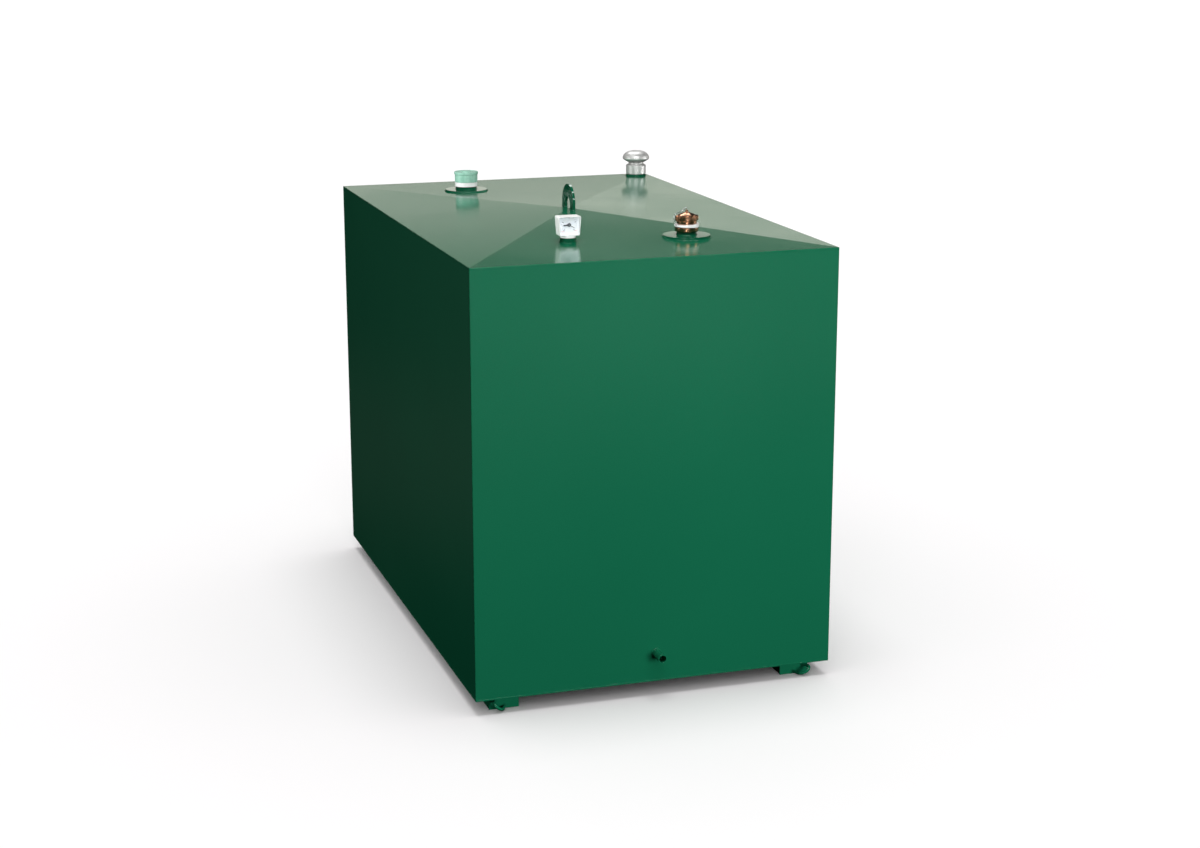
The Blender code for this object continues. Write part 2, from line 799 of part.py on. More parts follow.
def vent(frame):
    """A green socket, a turned aluminium body and the mushroom hood."""
    point = roof_point("vent", VENT_AT, frame)
    socket = [
        (VENT_RADIUS, VENT_SOCKET_TOP),
        (VENT_RADIUS, 0),
        (VENT_BORE, 0),
        (VENT_BORE, VENT_SOCKET_TOP),
    ]
    turned("vent_socket", socket, green_paint(), point, ROUND, follow_roof(VENT_AT, 0.003))
    metal = cast_aluminium()
    low = VENT_SOCKET_TOP + SEAT
    body = [
        (0.0255, VENT_BODY_TOP),
        (0.0276, 0.0415),
        (0.0334, 0.0385),
        (VENT_RADIUS, 0.0370),
        (VENT_RADIUS, low + 0.0022),
        (VENT_RADIUS - 0.0018, low),
        (VENT_BORE, low),
        (VENT_BORE, VENT_BODY_TOP),
    ]
    turned("vent_body", body, metal, point)
    under = VENT_BODY_TOP + SEAT
    hood = [
        (0, HOOD_TOP),
        (0.016, HOOD_TOP - 0.0006),
        (0.027, HOOD_TOP - 0.0032),
        (0.036, HOOD_TOP - 0.0080),
        (0.0430, HOOD_TOP - 0.0140),
        (0.0461, 0.0676),
        (0.0468, 0.0615),
        (0.0445, 0.0578),
        (0.0320, 0.0502),
        (0.0262, under),
        (0.0190, under),
        (0.0190, under + 0.012),
        (0, under + 0.012),
    ]
    turned("vent_hood", hood, metal, point, 48)


def inspection_fitting(frame):
    """Flange and socket, a white plastic ring and the pale green cap."""
    point = roof_point("inspection_point", INSPECTION_AT, frame)
    flange_and_socket(
        "inspection", "inspection_socket", INSPECTION_AT, point,
        INSPECTION_RADIUS, INSPECTION_SOCKET_TOP,
    )
    low = INSPECTION_SOCKET_TOP + SEAT
    edge = 0.0008
    ring = [
        (RING_RADIUS - edge, RING_TOP),
        (RING_RADIUS, RING_TOP - edge),
        (RING_RADIUS, low + edge),
        (RING_RADIUS - edge, low),
        (NECK_BORE, low),
        (NECK_BORE, RING_TOP),
    ]
    turned("inspection_ring", ring, white_plastic(), point)
    under = RING_TOP + SEAT
    inside = PLASTIC_CAP_RADIUS - PLASTIC_CAP_WALL
    dish = PLASTIC_CAP_TOP - 0.0015
    boss = 0.0150
    cap = [
        (0, PLASTIC_CAP_TOP + 0.0020),
        (boss - 0.001, PLASTIC_CAP_TOP + 0.0020),
        (boss, PLASTIC_CAP_TOP + 0.0012),
        (boss, dish),
        (PLASTIC_CAP_LIP - 0.0050, dish),
        (PLASTIC_CAP_LIP - 0.0040, PLASTIC_CAP_TOP - 0.0002),
        (PLASTIC_CAP_LIP - 0.0012, PLASTIC_CAP_TOP),
        (PLASTIC_CAP_LIP, PLASTIC_CAP_TOP - 0.0012),
        (PLASTIC_CAP_LIP - 0.0002, PLASTIC_CAP_LIP_LOW + 0.0016),
        (PLASTIC_CAP_RADIUS, PLASTIC_CAP_LIP_LOW),
        (PLASTIC_CAP_RADIUS, under),
        (inside, under),
        (inside, dish - PLASTIC_CAP_WALL),
        (0, dish - PLASTIC_CAP_WALL),
    ]
    turned("inspection_cap", cap, mint_plastic(), point)


def build():
    clear_scene()
    frame = empty("tank_frame", (0, OUTLET_REACH / 2, FOOT_HEIGHT))
    front = shell(frame)
    roof(frame)
    lifting_eye(frame)
    outlet(frame, front)
    skids(frame)
    tie_down_loops(frame)
    gauge(frame)
    fill_point(frame)
    vent(frame)
    inspection_fitting(frame)


build()
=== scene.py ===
# %% Load the solid model
import math

import bmesh
import bpy
from mathutils import Matrix, Vector


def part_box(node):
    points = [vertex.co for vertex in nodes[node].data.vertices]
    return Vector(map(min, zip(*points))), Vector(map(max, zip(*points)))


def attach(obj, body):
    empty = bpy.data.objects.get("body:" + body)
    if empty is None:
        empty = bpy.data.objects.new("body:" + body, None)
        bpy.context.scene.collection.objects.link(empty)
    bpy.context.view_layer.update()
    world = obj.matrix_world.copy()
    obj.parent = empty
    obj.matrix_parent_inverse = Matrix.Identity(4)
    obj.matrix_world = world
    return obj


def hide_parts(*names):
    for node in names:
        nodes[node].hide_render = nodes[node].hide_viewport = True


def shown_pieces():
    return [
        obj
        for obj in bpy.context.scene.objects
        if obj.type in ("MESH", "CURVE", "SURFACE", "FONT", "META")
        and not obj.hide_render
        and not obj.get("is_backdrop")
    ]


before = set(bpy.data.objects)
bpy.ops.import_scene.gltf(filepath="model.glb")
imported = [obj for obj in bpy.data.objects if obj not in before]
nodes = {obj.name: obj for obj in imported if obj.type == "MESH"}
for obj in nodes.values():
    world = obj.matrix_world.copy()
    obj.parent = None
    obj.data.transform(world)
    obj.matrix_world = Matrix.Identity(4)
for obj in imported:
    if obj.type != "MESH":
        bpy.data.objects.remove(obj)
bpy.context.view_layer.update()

# %% [markdown]
# # A steel fuel tank on two skids
# This lesson dresses a solid model of a rectangular fuel tank until it looks like the real one in a
# studio. The solid model gives every place and size. Each step builds one fitting with more detail than
# the solid has, or gives a finish to a plate whose shape is already right.

# %% [markdown]
# ## The camera
# The tank is seen from a little above and from its left. The lens is long, so its edges stay almost
# parallel. The camera comes first, because every choice of light and detail is judged through it. Its
# place was worked out from the tank's visible corners, which is surer than moving it by eye.

# %% Camera
CAMERA_PLACE = (-1.99632, -6.37871, 2.31139)
LOOKS_DOWN = 0.24771
LOOKS_RIGHT = 0.31677


def in_scene(name, data):
    """Makes an object of a camera, light, mesh or curve and puts it in the scene."""
    made = bpy.data.objects.new(name, data)
    bpy.context.scene.collection.objects.link(made)
    return made


camera = in_scene("camera", bpy.data.cameras.new("camera"))
camera.location = CAMERA_PLACE
camera.rotation_euler = (math.pi / 2 - LOOKS_DOWN, 0, -LOOKS_RIGHT)
camera.data.sensor_width = 36
camera.data.lens = 64.553
bpy.context.scene.camera = camera
print("camera lens in mm:", camera.data.lens)

# %% [markdown]
# ## The studio floor
# The tank stands on a white sweep that fades into a white wall. A plane does it. It is hidden from
# reflections and from bounced light, so that the dark side of the tank stays dark, and it glows a
# little, so that even its shadow stays pale.

# %% Floor
def linear(red, green, blue):
    """A colour as read off a screen, 0 to 255, in the linear values that a shader takes."""
    values = []
    for level in (red, green, blue):
        share = level / 255
        values.append(share / 12.92 if share <= 0.04045 else ((share + 0.055) / 1.055) ** 2.4)
    return (*values, 1.0)


def mesh_object(name, points, faces, edges=()):
    """An object with a mesh of points and faces, or of points and edges."""
    mesh = bpy.data.meshes.new(name)
    mesh.from_pydata(points, edges, faces)
    return in_scene(name, mesh)


FLOOR_REACH = 60.0
FLOOR_GLOW = 0.012

corners = [(-1, -1), (1, -1), (1, 1), (-1, 1)]
floor = mesh_object("floor", [(x * FLOOR_REACH, y * FLOOR_REACH, 0) for x, y in corners], [(0, 1, 2, 3)])
sweep = bpy.data.materials.new("white_sweep")
sweep.use_nodes = True
sweep_shader = sweep.node_tree.nodes["Principled BSDF"]
sweep_shader.inputs["Base Color"].default_value = (0.905, 0.890, 0.898, 1)
sweep_shader.inputs["Roughness"].default_value = 0.9
sweep_shader.inputs["Specular IOR Level"].default_value = 0.0
sweep_shader.inputs["Emission Color"].default_value = (1, 1, 1, 1)
sweep_shader.inputs["Emission Strength"].default_value = FLOOR_GLOW
floor.data.materials.append(sweep)
floor.visible_glossy = False
floor.visible_diffuse = False
floor.visible_transmission = False
floor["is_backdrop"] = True

# %% [markdown]
# ## The studio lights
# A white band runs round the studio just above the horizon, and it dies away above ten degrees. The
# roof is seen at a grazing angle, so each of its four folds mirrors another part of that band: this is
# what makes the folds show. A wide softbox stands high in front and another behind. Light linking gives
# each group of pieces more lights of its own: fills that aren't mirrored for the plates, small lights for
# the edges of the green fittings, upright softboxes for the bright fittings, and three suns for the
# floor, so that its shadow can be tuned without changing the tank.

# %% World
def add(tree, kind, inputs=None, **settings):
    """Adds a node, sets its options, and feeds its inputs with values or with other nodes' outputs."""
    made = tree.nodes.new(kind)
    for key, value in settings.items():
        setattr(made, key, value)
    for key, value in (inputs or {}).items():
        if isinstance(value, bpy.types.NodeSocket):
            tree.links.new(value, made.inputs[key])
        else:
            made.inputs[key].default_value = value
    return made


def fade(tree, value, start, end, low, high):
    """Goes smoothly from `low` to `high` while a value goes from `start` to `end`."""
    node = add(
        tree, "ShaderNodeMapRange", {"Value": value}, interpolation_type="SMOOTHSTEP", clamp=True
    )
    for key, number in (("From Min", start), ("From Max", end), ("To Min", low), ("To Max", high)):
        node.inputs[key].default_value = number
    return node.outputs["Result"]


def calculate(tree, operation, first, second):
    node = add(tree, "ShaderNodeMath", {0: first, 1: second}, operation=operation)
    return node.outputs[0]


BAND_TINT = (0.96, 0.93, 0.84, 1)
BAND_PROFILE = (
    (-22.0, 0.004), (-17.0, 0.018), (-0.8, 0.022), (0.8, 0.34), (5.0, 0.30), (5.9, 0.60), (6.8, 1.36),
    (7.8, 1.44), (8.6, 1.18), (9.4, 0.52), (10.3, 0.17), (11.2, 0.040), (13.0, 0.004),
)
SHEEN = 0.22
FRONT_SHARE = 0.05
LEFT_HAZE = 0.024

world = bpy.data.worlds.new("studio")
bpy.context.scene.world = world
world.use_nodes = True
tree = world.node_tree
tree.nodes.clear()
direction = add(tree, "ShaderNodeTexCoord").outputs["Generated"]
parts = add(tree, "ShaderNodeSeparateXYZ", {0: direction})
across, ahead, height = parts.outputs["X"], parts.outputs["Y"], parts.outputs["Z"]
lowest, highest = [math.sin(math.radians(BAND_PROFILE[end][0])) for end in (0, -1)]
share = add(tree, "ShaderNodeMapRange", {"Value": height}, clamp=True)
share.inputs["From Min"].default_value = lowest
share.inputs["From Max"].default_value = highest
profile = add(tree, "ShaderNodeValToRGB", {0: share.outputs["Result"]})
stops = profile.color_ramp.elements
while len(stops) < len(BAND_PROFILE):
    stops.new(0.5)
for stop, (degrees, light) in zip(stops, BAND_PROFILE):
    stop.position = (math.sin(math.radians(degrees)) - lowest) / (highest - lowest)
    stop.color = (light, light, light, 1)
behind = fade(tree, ahead, 0.0, 0.5, 0.0, 1.0)
dark_left = fade(tree, across, -0.14, 0.06, 0.94, 0.0)
kept = calculate(tree, "SUBTRACT", 1.0, calculate(tree, "MULTIPLY", behind, dark_left))
band = calculate(tree, "MULTIPLY", profile.outputs["Color"], kept)
band = calculate(tree, "MULTIPLY", band, fade(tree, ahead, -0.1, 0.15, FRONT_SHARE, 1.0))
leaning = calculate(tree, "SUBTRACT", height, calculate(tree, "MULTIPLY", across, 0.2))
leaning = calculate(tree, "SUBTRACT", leaning, calculate(tree, "MULTIPLY", ahead, 0.036))
rise = fade(tree, leaning, -0.305, -0.250, 0.0, 1.0)
fall = fade(tree, leaning, -0.244, -0.189, 1.0, 0.0)
frontal = fade(tree, ahead, -0.3, 0.3, SHEEN, SHEEN * 0.06)
sheen = calculate(tree, "MULTIPLY", calculate(tree, "MULTIPLY", rise, fall), frontal)
left_side = fade(tree, across, -0.32, -0.16, LEFT_HAZE, 0.0)
haze = calculate(tree, "MULTIPLY", left_side, fade(tree, height, -0.35, -0.27, 0.0, 1.0))
strength = calculate(tree, "ADD", calculate(tree, "ADD", band, sheen), haze)
studio = add(tree, "ShaderNodeBackground", {"Strength": strength, "Color": BAND_TINT})
white = add(tree, "ShaderNodeBackground", {"Strength": 1.1})
seen = add(tree, "ShaderNodeLightPath").outputs["Is Camera Ray"]
choice = add(tree, "ShaderNodeMixShader", {0: seen, 1: studio.outputs[0], 2: white.outputs[0]})
add(tree, "ShaderNodeOutputWorld", {"Surface": choice.outputs[0]})
bpy.context.scene.view_settings.view_transform = "Standard"

# %% Lights
ROOF_MIDDLE = (0.0, 0.026, 1.30)
FRONT_MIDDLE = (0.0, -0.82, 0.70)

GROUPS = ("floor", "plates", "green", "bright", "outlet", "tank")
shone_on = {name: bpy.data.collections.new("lit_" + name) for name in GROUPS}
shone_on["floor"].objects.link(floor)
shone_on["tank"].objects.link(floor)
shone_on["tank"].collection_objects[0].light_linking.link_state = "EXCLUDE"


def softbox(name, place, aim, size, watts, mirrored=True, on="tank", shadows=True):
    """A rectangular light that the camera doesn't see, shining on one group of pieces.

    Without `mirrored` it shows in no reflection, and without `shadows` nothing stands in its way.
    """
    light = bpy.data.lights.new(name, "AREA")
    light.shape = "RECTANGLE"
    light.size, light.size_y = size
    light.energy = watts
    light.use_shadow = shadows
    light.cycles.use_multiple_importance_sampling = shadows
    made = in_scene(name, light)
    made.location = place
    made.rotation_euler = (Vector(aim) - Vector(place)).to_track_quat("-Z", "Y").to_euler()
    made.visible_camera = False
    made.visible_glossy = mirrored
    made.light_linking.receiver_collection = shone_on[on]
    return made


softbox("front_softbox", (-0.74, -2.30, 4.50), ROOF_MIDDLE, (3.0, 1.5), 110)
softbox("back_softbox", (0.70, 2.60, 4.60), ROOF_MIDDLE, (2.6, 1.0), 60)
for name, place, aim, watts in (
    ("plates_front", (1.6, -6.5, 1.1), FRONT_MIDDLE, 288),
    ("plates_left", (-6.0, 0.6, 2.0), (-0.5, 0.0, 0.7), 75),
    ("plates_top", (0.4, 0.6, 5.0), ROOF_MIDDLE, 30),
    ("plates_right", (6.0, 2.5, 2.2), (0.5, 0.2, 0.7), 150),
    ("plates_back", (1.5, 6.5, 2.2), (0.0, 0.8, 0.7), 150),
):
    softbox(name, place, aim, (2.7, 2.5), watts, mirrored=False, on="plates")
for name, place in (
    ("edge_back", (1.18, 3.03, 3.73)), ("edge_top", (1.18, -1.19, 4.97)), ("edge_front", (1.18, -3.42, 2.99)),
):
    softbox(name, place, ROOF_MIDDLE, (0.7, 0.35), 14, on="green")
OUTLET_MIDDLE = (0.0, -0.84, 0.13)
softbox("outlet_strip", (-0.72, 2.90, 1.50), OUTLET_MIDDLE, (0.5, 0.25), 7, on="outlet", shadows=False)
for name, place, size, watts, mirrored, shadows in (
    ("bright_front", (-0.2, -3.9, 2.2), (1.5, 1.9), 40, True, True),
    ("bright_low", (-1.0, -3.8, 0.70), (0.9, 0.9), 11, True, False),
    ("bright_left", (-4.0, 0.2, 1.6), (1.5, 2.8), 55, True, True),
    ("bright_right", (4.0, -0.9, 1.6), (1.5, 2.8), 55, True, True),
    ("bright_left_fill", (-3.6, 0.6, 2.6), (2.0, 2.0), 75, False, True),
    ("bright_front_fill", (-1.2, -3.8, 2.4), (2.0, 2.0), 25, False, True),
):
    softbox(name, place, ROOF_MIDDLE, size, watts, mirrored, "bright", shadows)

for name, energy, spread, direction in (
    ("floor_near_shadow", 1.5, 34, (0, 0, 1)),
    ("floor_wide_shadow", 1.7, 175, (0, 0, 1)),
    ("floor_low_front", 0.7, 40, (-0.3, -1.0, 0.65)),
):
    sun = in_scene(name, bpy.data.lights.new(name, "SUN"))
    sun.rotation_euler = Vector(direction).to_track_quat("Z", "Y").to_euler()
    sun.data.energy = energy
    sun.data.angle = math.radians(spread)
    sun.light_linking.receiver_collection = shone_on["floor"]

# %% [markdown]
# ## Powder coat
# The whole tank is sprayed with powder and baked. The film is glossy, but it isn't flat: up close it
# has the faint dimples of orange peel, and its gloss changes a little from place to place. A noise
# of three to eight millimetres makes the dimples as a bump, and a slow one shifts colour and gloss. The
# big plates get more peel than the small turned fittings, which are smoother.

# %% Powder coat
def blank_material(name, roughness, metallic=0.0):
    material = bpy.data.materials.new(name)
    material.use_nodes = True
    shader = material.node_tree.nodes["Principled BSDF"]
    shader.inputs["Roughness"].default_value = roughness
    shader.inputs["Metallic"].default_value = metallic
    return material, material.node_tree, shader


def noise(tree, where, size, detail=2.0):
    """A noise whose lumps are about `size` metres across."""
    node = add(tree, "ShaderNodeTexNoise", {"Vector": where, "Scale": 1 / size, "Detail": detail})
    return node.outputs["Fac"]


def between(tree, share, first, second):
    """A colour between two colours."""
    node = add(tree, "ShaderNodeMix", data_type="RGBA")
    for index, value in ((0, share), (6, first), (7, second)):
        if isinstance(value, bpy.types.NodeSocket):
            tree.links.new(value, node.inputs[index])
        else:
            node.inputs[index].default_value = value
    return node.outputs[2]


def shaded(colour, factor):
    return (*[min(1.0, level * factor) for level in colour[:3]], 1.0)


def raise_bump(tree, shader, height, depth, strength=1.0):
    """Feeds a height into the shader's normal, `depth` metres deep."""
    bump = add(tree, "ShaderNodeBump", {"Height": height, "Distance": depth, "Strength": strength})
    tree.links.new(bump.outputs["Normal"], shader.inputs["Normal"])


def place_of(tree):
    return add(tree, "ShaderNodeTexCoord").outputs["Object"]


def powder_coat(name, colour, gloss, peel_size, peel_depth):
    material, tree, shader = blank_material(name, gloss)
    where = place_of(tree)
    slow = noise(tree, where, 0.55, 3.0)
    fine = noise(tree, where, 0.0035, 2.0)
    drift = between(tree, slow, shaded(colour, 0.93), shaded(colour, 1.07))
    speck = between(tree, fade(tree, fine, 0.35, 0.65, 0.0, 0.12), drift, shaded(colour, 1.6))
    tree.links.new(speck, shader.inputs["Base Color"])
    tree.links.new(fade(tree, slow, 0.3, 0.7, gloss * 0.9, gloss * 1.12), shader.inputs["Roughness"])
    peel = noise(tree, where, peel_size, 3.0)
    raise_bump(tree, shader, peel, peel_depth)
    return material


GREEN = (0.0058, 0.128, 0.0615, 1.0)
plate_green = powder_coat("plate_green", GREEN, 0.15, 0.0080, 0.00011)
# Painted light: the fittings' green is the plates' green made five per cent lighter, to make up for the plate
# fills that the roof fittings don't get.
fitting_green_painted_light = powder_coat("fitting_green_painted_light", shaded(GREEN, 1.05), 0.10, 0.0030, 0.00001)

for name, node in nodes.items():
    if node.data.materials and "green" in node.data.materials[0].name:
        node.data.materials.clear()
        node.data.materials.append(plate_green)
print("plates painted")

# %% [markdown]
# ## Metals and plastics
# Each finish starts from one colour and gets the marks of how it is made: fine rings where a lathe
# turned the aluminium, a mottled brown film on the bronze, a faint moulded grain on the plastics. The
# rings follow the distance from the fitting's own axis, so a Mapping node first moves the pattern's
# centre there.

# %% Metal and plastic finishes
def mottled(name, dark, light, roughness, metallic, size, grain, depth):
    """A finish that drifts between two colours, with a fine grain as bump."""
    material, tree, shader = blank_material(name, roughness, metallic)
    where = place_of(tree)
    drift = noise(tree, where, size, 4.0)
    colour = between(tree, fade(tree, drift, 0.35, 0.65, 0, 1), dark, light)
    tree.links.new(colour, shader.inputs["Base Color"])
    rough = fade(tree, drift, 0.3, 0.7, roughness * 1.15, roughness * 0.85)
    tree.links.new(rough, shader.inputs["Roughness"])
    raise_bump(tree, shader, noise(tree, where, grain, 2.0), depth)
    return material


# The heights over the roof between which the vent hood's underside, in the shade of its brim, gets painted
# shade.
SHADE_LOW, SHADE_HIGH = (0.0465, 0.0480), (0.0560, 0.0600)


def turned_metal(name, dark, light, roughness, metallic, centre, ring):
    """Metal with lathe marks `ring` metres apart: a sine of the height and the distance from the axis.
    Painted shade darkens it under the vent hood's brim.
    """
    material, tree, shader = blank_material(name, roughness, metallic)
    where = add(tree, "ShaderNodeMapping", {"Vector": place_of(tree), "Location": [-c for c in centre]})
    apart = add(tree, "ShaderNodeSeparateXYZ", {0: where.outputs[0]})
    flat = add(tree, "ShaderNodeCombineXYZ", {"X": apart.outputs["X"], "Y": apart.outputs["Y"]})
    away = add(tree, "ShaderNodeVectorMath", {0: flat.outputs[0]}, operation="LENGTH").outputs["Value"]
    along = calculate(tree, "ADD", calculate(tree, "MULTIPLY", away, 0.6), apart.outputs["Z"])
    marks = calculate(tree, "SINE", calculate(tree, "MULTIPLY", along, math.tau / ring), 0.0)
    stain = noise(tree, where.outputs[0], 0.010, 4.0)
    # Painted shade: between SHADE_LOW and SHADE_HIGH the colour is blended towards a fifth of the dark tone,
    # as the shade under the hood's brim.
    painted_brim_shade = calculate(
        tree, "MAXIMUM", fade(tree, apart.outputs["Z"], *SHADE_HIGH, 0.30, 1.0),
        fade(tree, apart.outputs["Z"], *SHADE_LOW, 1.0, 0.0),
    )
    clean = between(tree, stain, dark, light)
    tree.links.new(between(tree, painted_brim_shade, shaded(dark, 0.2), clean), shader.inputs["Base Color"])
    rough = fade(tree, stain, 0.3, 0.7, roughness * 0.85, roughness * 1.2)
    tree.links.new(rough, shader.inputs["Roughness"])
    raise_bump(tree, shader, marks, 0.00002)
    return material


bronze = mottled(
    "patinated_bronze", linear(146, 104, 78), linear(176, 134, 104), 0.22, 1.0, 0.020, 0.0012, 0.000004
)
bright_steel = mottled(
    "chain_steel", linear(190, 192, 196), linear(236, 238, 240), 0.22, 1.0, 0.004, 0.0006, 0.00001
)
white_plastic = mottled(
    "white_plastic", linear(232, 231, 230), linear(246, 246, 246), 0.30, 0.0, 0.020, 0.0008, 0.00001
)
mint_plastic = mottled(
    "mint_plastic", linear(140, 192, 172), linear(158, 206, 188), 0.30, 0.0, 0.015, 0.0008, 0.00001
)
black_plastic = mottled(
    "black_plastic", linear(8, 9, 11), linear(20, 21, 24), 0.50, 0.0, 0.006, 0.0006, 0.00001
)
dial_paint = mottled(
    "dial_paint", linear(243, 247, 254), linear(249, 252, 255), 0.50, 0.0, 0.015, 0.0005, 0.000005
)
grey_print = mottled(
    "grey_print", linear(52, 56, 64), linear(70, 74, 82), 0.50, 0.0, 0.004, 0.0005, 0.000005
)
red_print = mottled(
    "red_print", linear(232, 150, 154), linear(240, 172, 174), 0.50, 0.0, 0.004, 0.0005, 0.000005
)
window = mottled(
    "clear_window", linear(225, 235, 250), linear(235, 243, 255), 0.04, 0.0, 0.020, 0.0008, 0.000004
)
window.node_tree.nodes["Principled BSDF"].inputs["Alpha"].default_value = 0.05
print("finishes made:", len(bpy.data.materials))

# %% [markdown]
# ## Where the fittings stand
# The roof is a sheet folded along its diagonals, so its height at a point follows from how near that
# point is to an edge. Every fitting is measured from the roof under its own axis, and the solid model's
# boxes give those axes.

# %% Places on the roof
SHEET = 0.003
roof_low, roof_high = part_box("roof_plate")
roof_centre = (roof_low + roof_high) / 2
roof_half = (roof_high - roof_low) / 2
ROOF_EDGE = roof_low.z + SHEET
ROOF_RISE = roof_high.z - ROOF_EDGE


def roof_at(x, y):
    share = max(abs(x - roof_centre.x) / roof_half.x, abs(y - roof_centre.y) / roof_half.y)
    return ROOF_EDGE + ROOF_RISE * (1 - share)


def axis_of(node):
    """The point of the roof under the middle of a solid piece."""
    low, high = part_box(node)
    x, y = (low.x + high.x) / 2, (low.y + high.y) / 2
    return Vector((x, y, roof_at(x, y)))


GAUGE = axis_of("gauge_collar")
FILL = axis_of("fill_adaptor")
VENT = axis_of("vent_body")
DIP = axis_of("inspection_ring")
for label, spot in (("gauge", GAUGE), ("fill", FILL), ("vent", VENT), ("dip", DIP)):
    print(label, [round(value, 4) for value in spot])
aluminium = turned_metal(
    "turned_aluminium", linear(214, 213, 210), linear(238, 238, 237), 0.44, 0.65, VENT, 0.0011
)

# %% [markdown]
# ## Turned pieces with rounded edges
# Sockets, caps and flanges are round, so each one is a profile turned about its axis. A real edge is
# never sharp: it catches a thin line of light. Each corner of a profile may name a radius, and a short
# arc takes the corner's place. The mesh is made point by point rather than with a Spin, so that it is
# closed and faces outwards from the start.

# %% Turned pieces
ARC_STEPS = 5


def rounded(profile):
    """A profile of (radius, height, rounding) points with an arc in place of each rounded corner."""
    points = []
    for index, corner in enumerate(profile):
        spot = Vector(corner[:2])
        rounding = corner[2] if len(corner) > 2 else 0
        if not rounding:
            points.append(spot)
            continue
        before = Vector(profile[index - 1][:2]) - spot
        after = Vector(profile[(index + 1) % len(profile)][:2]) - spot
        opening = before.angle(after)
        reach = min(rounding / math.tan(opening / 2), before.length * 0.49, after.length * 0.49)
        radius = reach * math.tan(opening / 2)
        inward = (before.normalized() + after.normalized()).normalized()
        centre = spot + inward * (radius / math.sin(opening / 2))
        start = spot + before.normalized() * reach - centre
        turn = start.angle_signed(spot + after.normalized() * reach - centre)
        for step in range(ARC_STEPS + 1):
            angle = -turn * step / ARC_STEPS
            cosine, sine = math.cos(angle), math.sin(angle)
            spoke = Vector((cosine * start.x - sine * start.y, sine * start.x + cosine * start.y))
            points.append(centre + spoke)
    return points


def tidy_mesh(bm, name, sharp=35.0):
    """Closes and orients a mesh, shades it smooth between sharp edges, and makes its object."""
    bmesh.ops.remove_doubles(bm, verts=bm.verts, dist=1e-6)
    bmesh.ops.recalc_face_normals(bm, faces=bm.faces)
    mesh = bpy.data.meshes.new(name)
    bm.to_mesh(mesh)
    bm.free()
    mesh.shade_smooth()
    mesh.set_sharp_from_angle(angle=math.radians(sharp))
    return in_scene(name, mesh)


def turned(name, profile, spot, steps=96, reshape=None, turn=None):
    """Turns a closed or axis-to-axis profile about Z at a spot. `turn` is a matrix for another axis."""
    points = rounded(profile)
    bm = bmesh.new()
    rows = []
    for radius, height in points:
        count = 1 if radius < 1e-7 else steps
        row = []
        for step in range(count):
            angle = math.tau * step / steps
            place = Vector((radius * math.cos(angle), radius * math.sin(angle), height))
            if reshape is not None:
                place = reshape(place)
            if turn is not None:
                place = turn @ place
            row.append(bm.verts.new(place + Vector(spot)))
        rows.append(row)
    closed = points[0][0] > 1e-7
    pairs = list(zip(rows, rows[1:] + ([rows[0]] if closed else [])))
    for first, second in pairs:
        for step in range(steps):
            after = (step + 1) % steps
            ring = [first[step % len(first)], first[after % len(first)]]
            ring += [second[after % len(second)], second[step % len(second)]]
            ring = list(dict.fromkeys(ring))
            if len(ring) > 2:
                bm.faces.new(ring)
    return tidy_mesh(bm, name)


def even_shading(made):
    """Keeps flat faces flat-looking beside small roundings."""
    modifier = made.modifiers.new("even shading", "WEIGHTED_NORMAL")
    modifier.keep_sharp = True


def settle(made, material, body, slot, *stands_for):
    """Gives a piece its finish and the body it moves with, and hides the solid pieces it stands for; `slot`
    is not used.
    """
    made.data.materials.clear()
    made.data.materials.append(material)
    even_shading(made)
    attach(made, body)
    if stands_for:
        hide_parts(*stands_for)
    return made


def on_roof(spot, below):
    """Brings the foot of a fitting, what is lower than `below`, down to the sloping roof."""

    def reshape(place):
        if place.z < below:
            place.z += roof_at(spot[0] + place.x, spot[1] + place.y) - spot[2]
        return place

    return reshape


FLANGE_TOP = 0.0060


def flange(name, node, spot, inner):
    radius = (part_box(node)[1].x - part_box(node)[0].x) / 2
    profile = [(inner, FLANGE_TOP), (radius, FLANGE_TOP, 0.0012), (radius, 0), (inner, 0)]
    made = turned(name, profile, spot, 144, on_roof(spot, 0.003))
    return settle(made, fitting_green_painted_light, "tank", "green_paint", node)


def socket(name, node, spot, outer, inner, top):
    profile = [(inner, top, 0.0006), (outer, top, 0.0010), (outer, 0), (inner, 0)]
    made = turned(name, profile, spot, 96, on_roof(spot, 0.003))
    return settle(made, fitting_green_painted_light, "tank", "green_paint", node)


flange("fill_flange_ring", "fill_flange", FILL, 0.0298)
flange("dip_flange_ring", "inspection_flange", DIP, 0.0353)
socket("fill_socket", "fill_neck", FILL, 0.0295, 0.0225, 0.0150)
socket("dip_socket", "inspection_socket", DIP, 0.0350, 0.0225, 0.0155)
socket("vent_weld_socket", "vent_socket", VENT, 0.0348, 0.0225, 0.0062)
socket("gauge_weld_socket", "gauge_socket", GAUGE, 0.0238, 0.0180, 0.0133)
print("flanges and sockets made")

# %% [markdown]
# ## Weld beads
# The plates, sockets, flanges, loops and the lifting eye are all welded. A weld is a row of small
# overlapping ripples that follows a joint, which is work for Geometry Nodes: one tree sweeps a round
# profile along any path and swells and shrinks it once per ripple. The same tree makes the thin dressed
# seams of the shell and the fuller beads round the fittings, only with other numbers.

# %% A tree for beads
def new_tree(name, inputs):
    """A Geometry Nodes tree with named inputs. Returns the tree and its input and output nodes."""
    made = bpy.data.node_groups.new(name, "GeometryNodeTree")
    made.interface.new_socket("Geometry", in_out="INPUT", socket_type="NodeSocketGeometry")
    made.interface.new_socket("Geometry", in_out="OUTPUT", socket_type="NodeSocketGeometry")
    for label, kind in inputs.items():
        made.interface.new_socket(label, in_out="INPUT", socket_type="NodeSocket" + kind)
    return made, made.nodes.new("NodeGroupInput"), made.nodes.new("NodeGroupOutput")


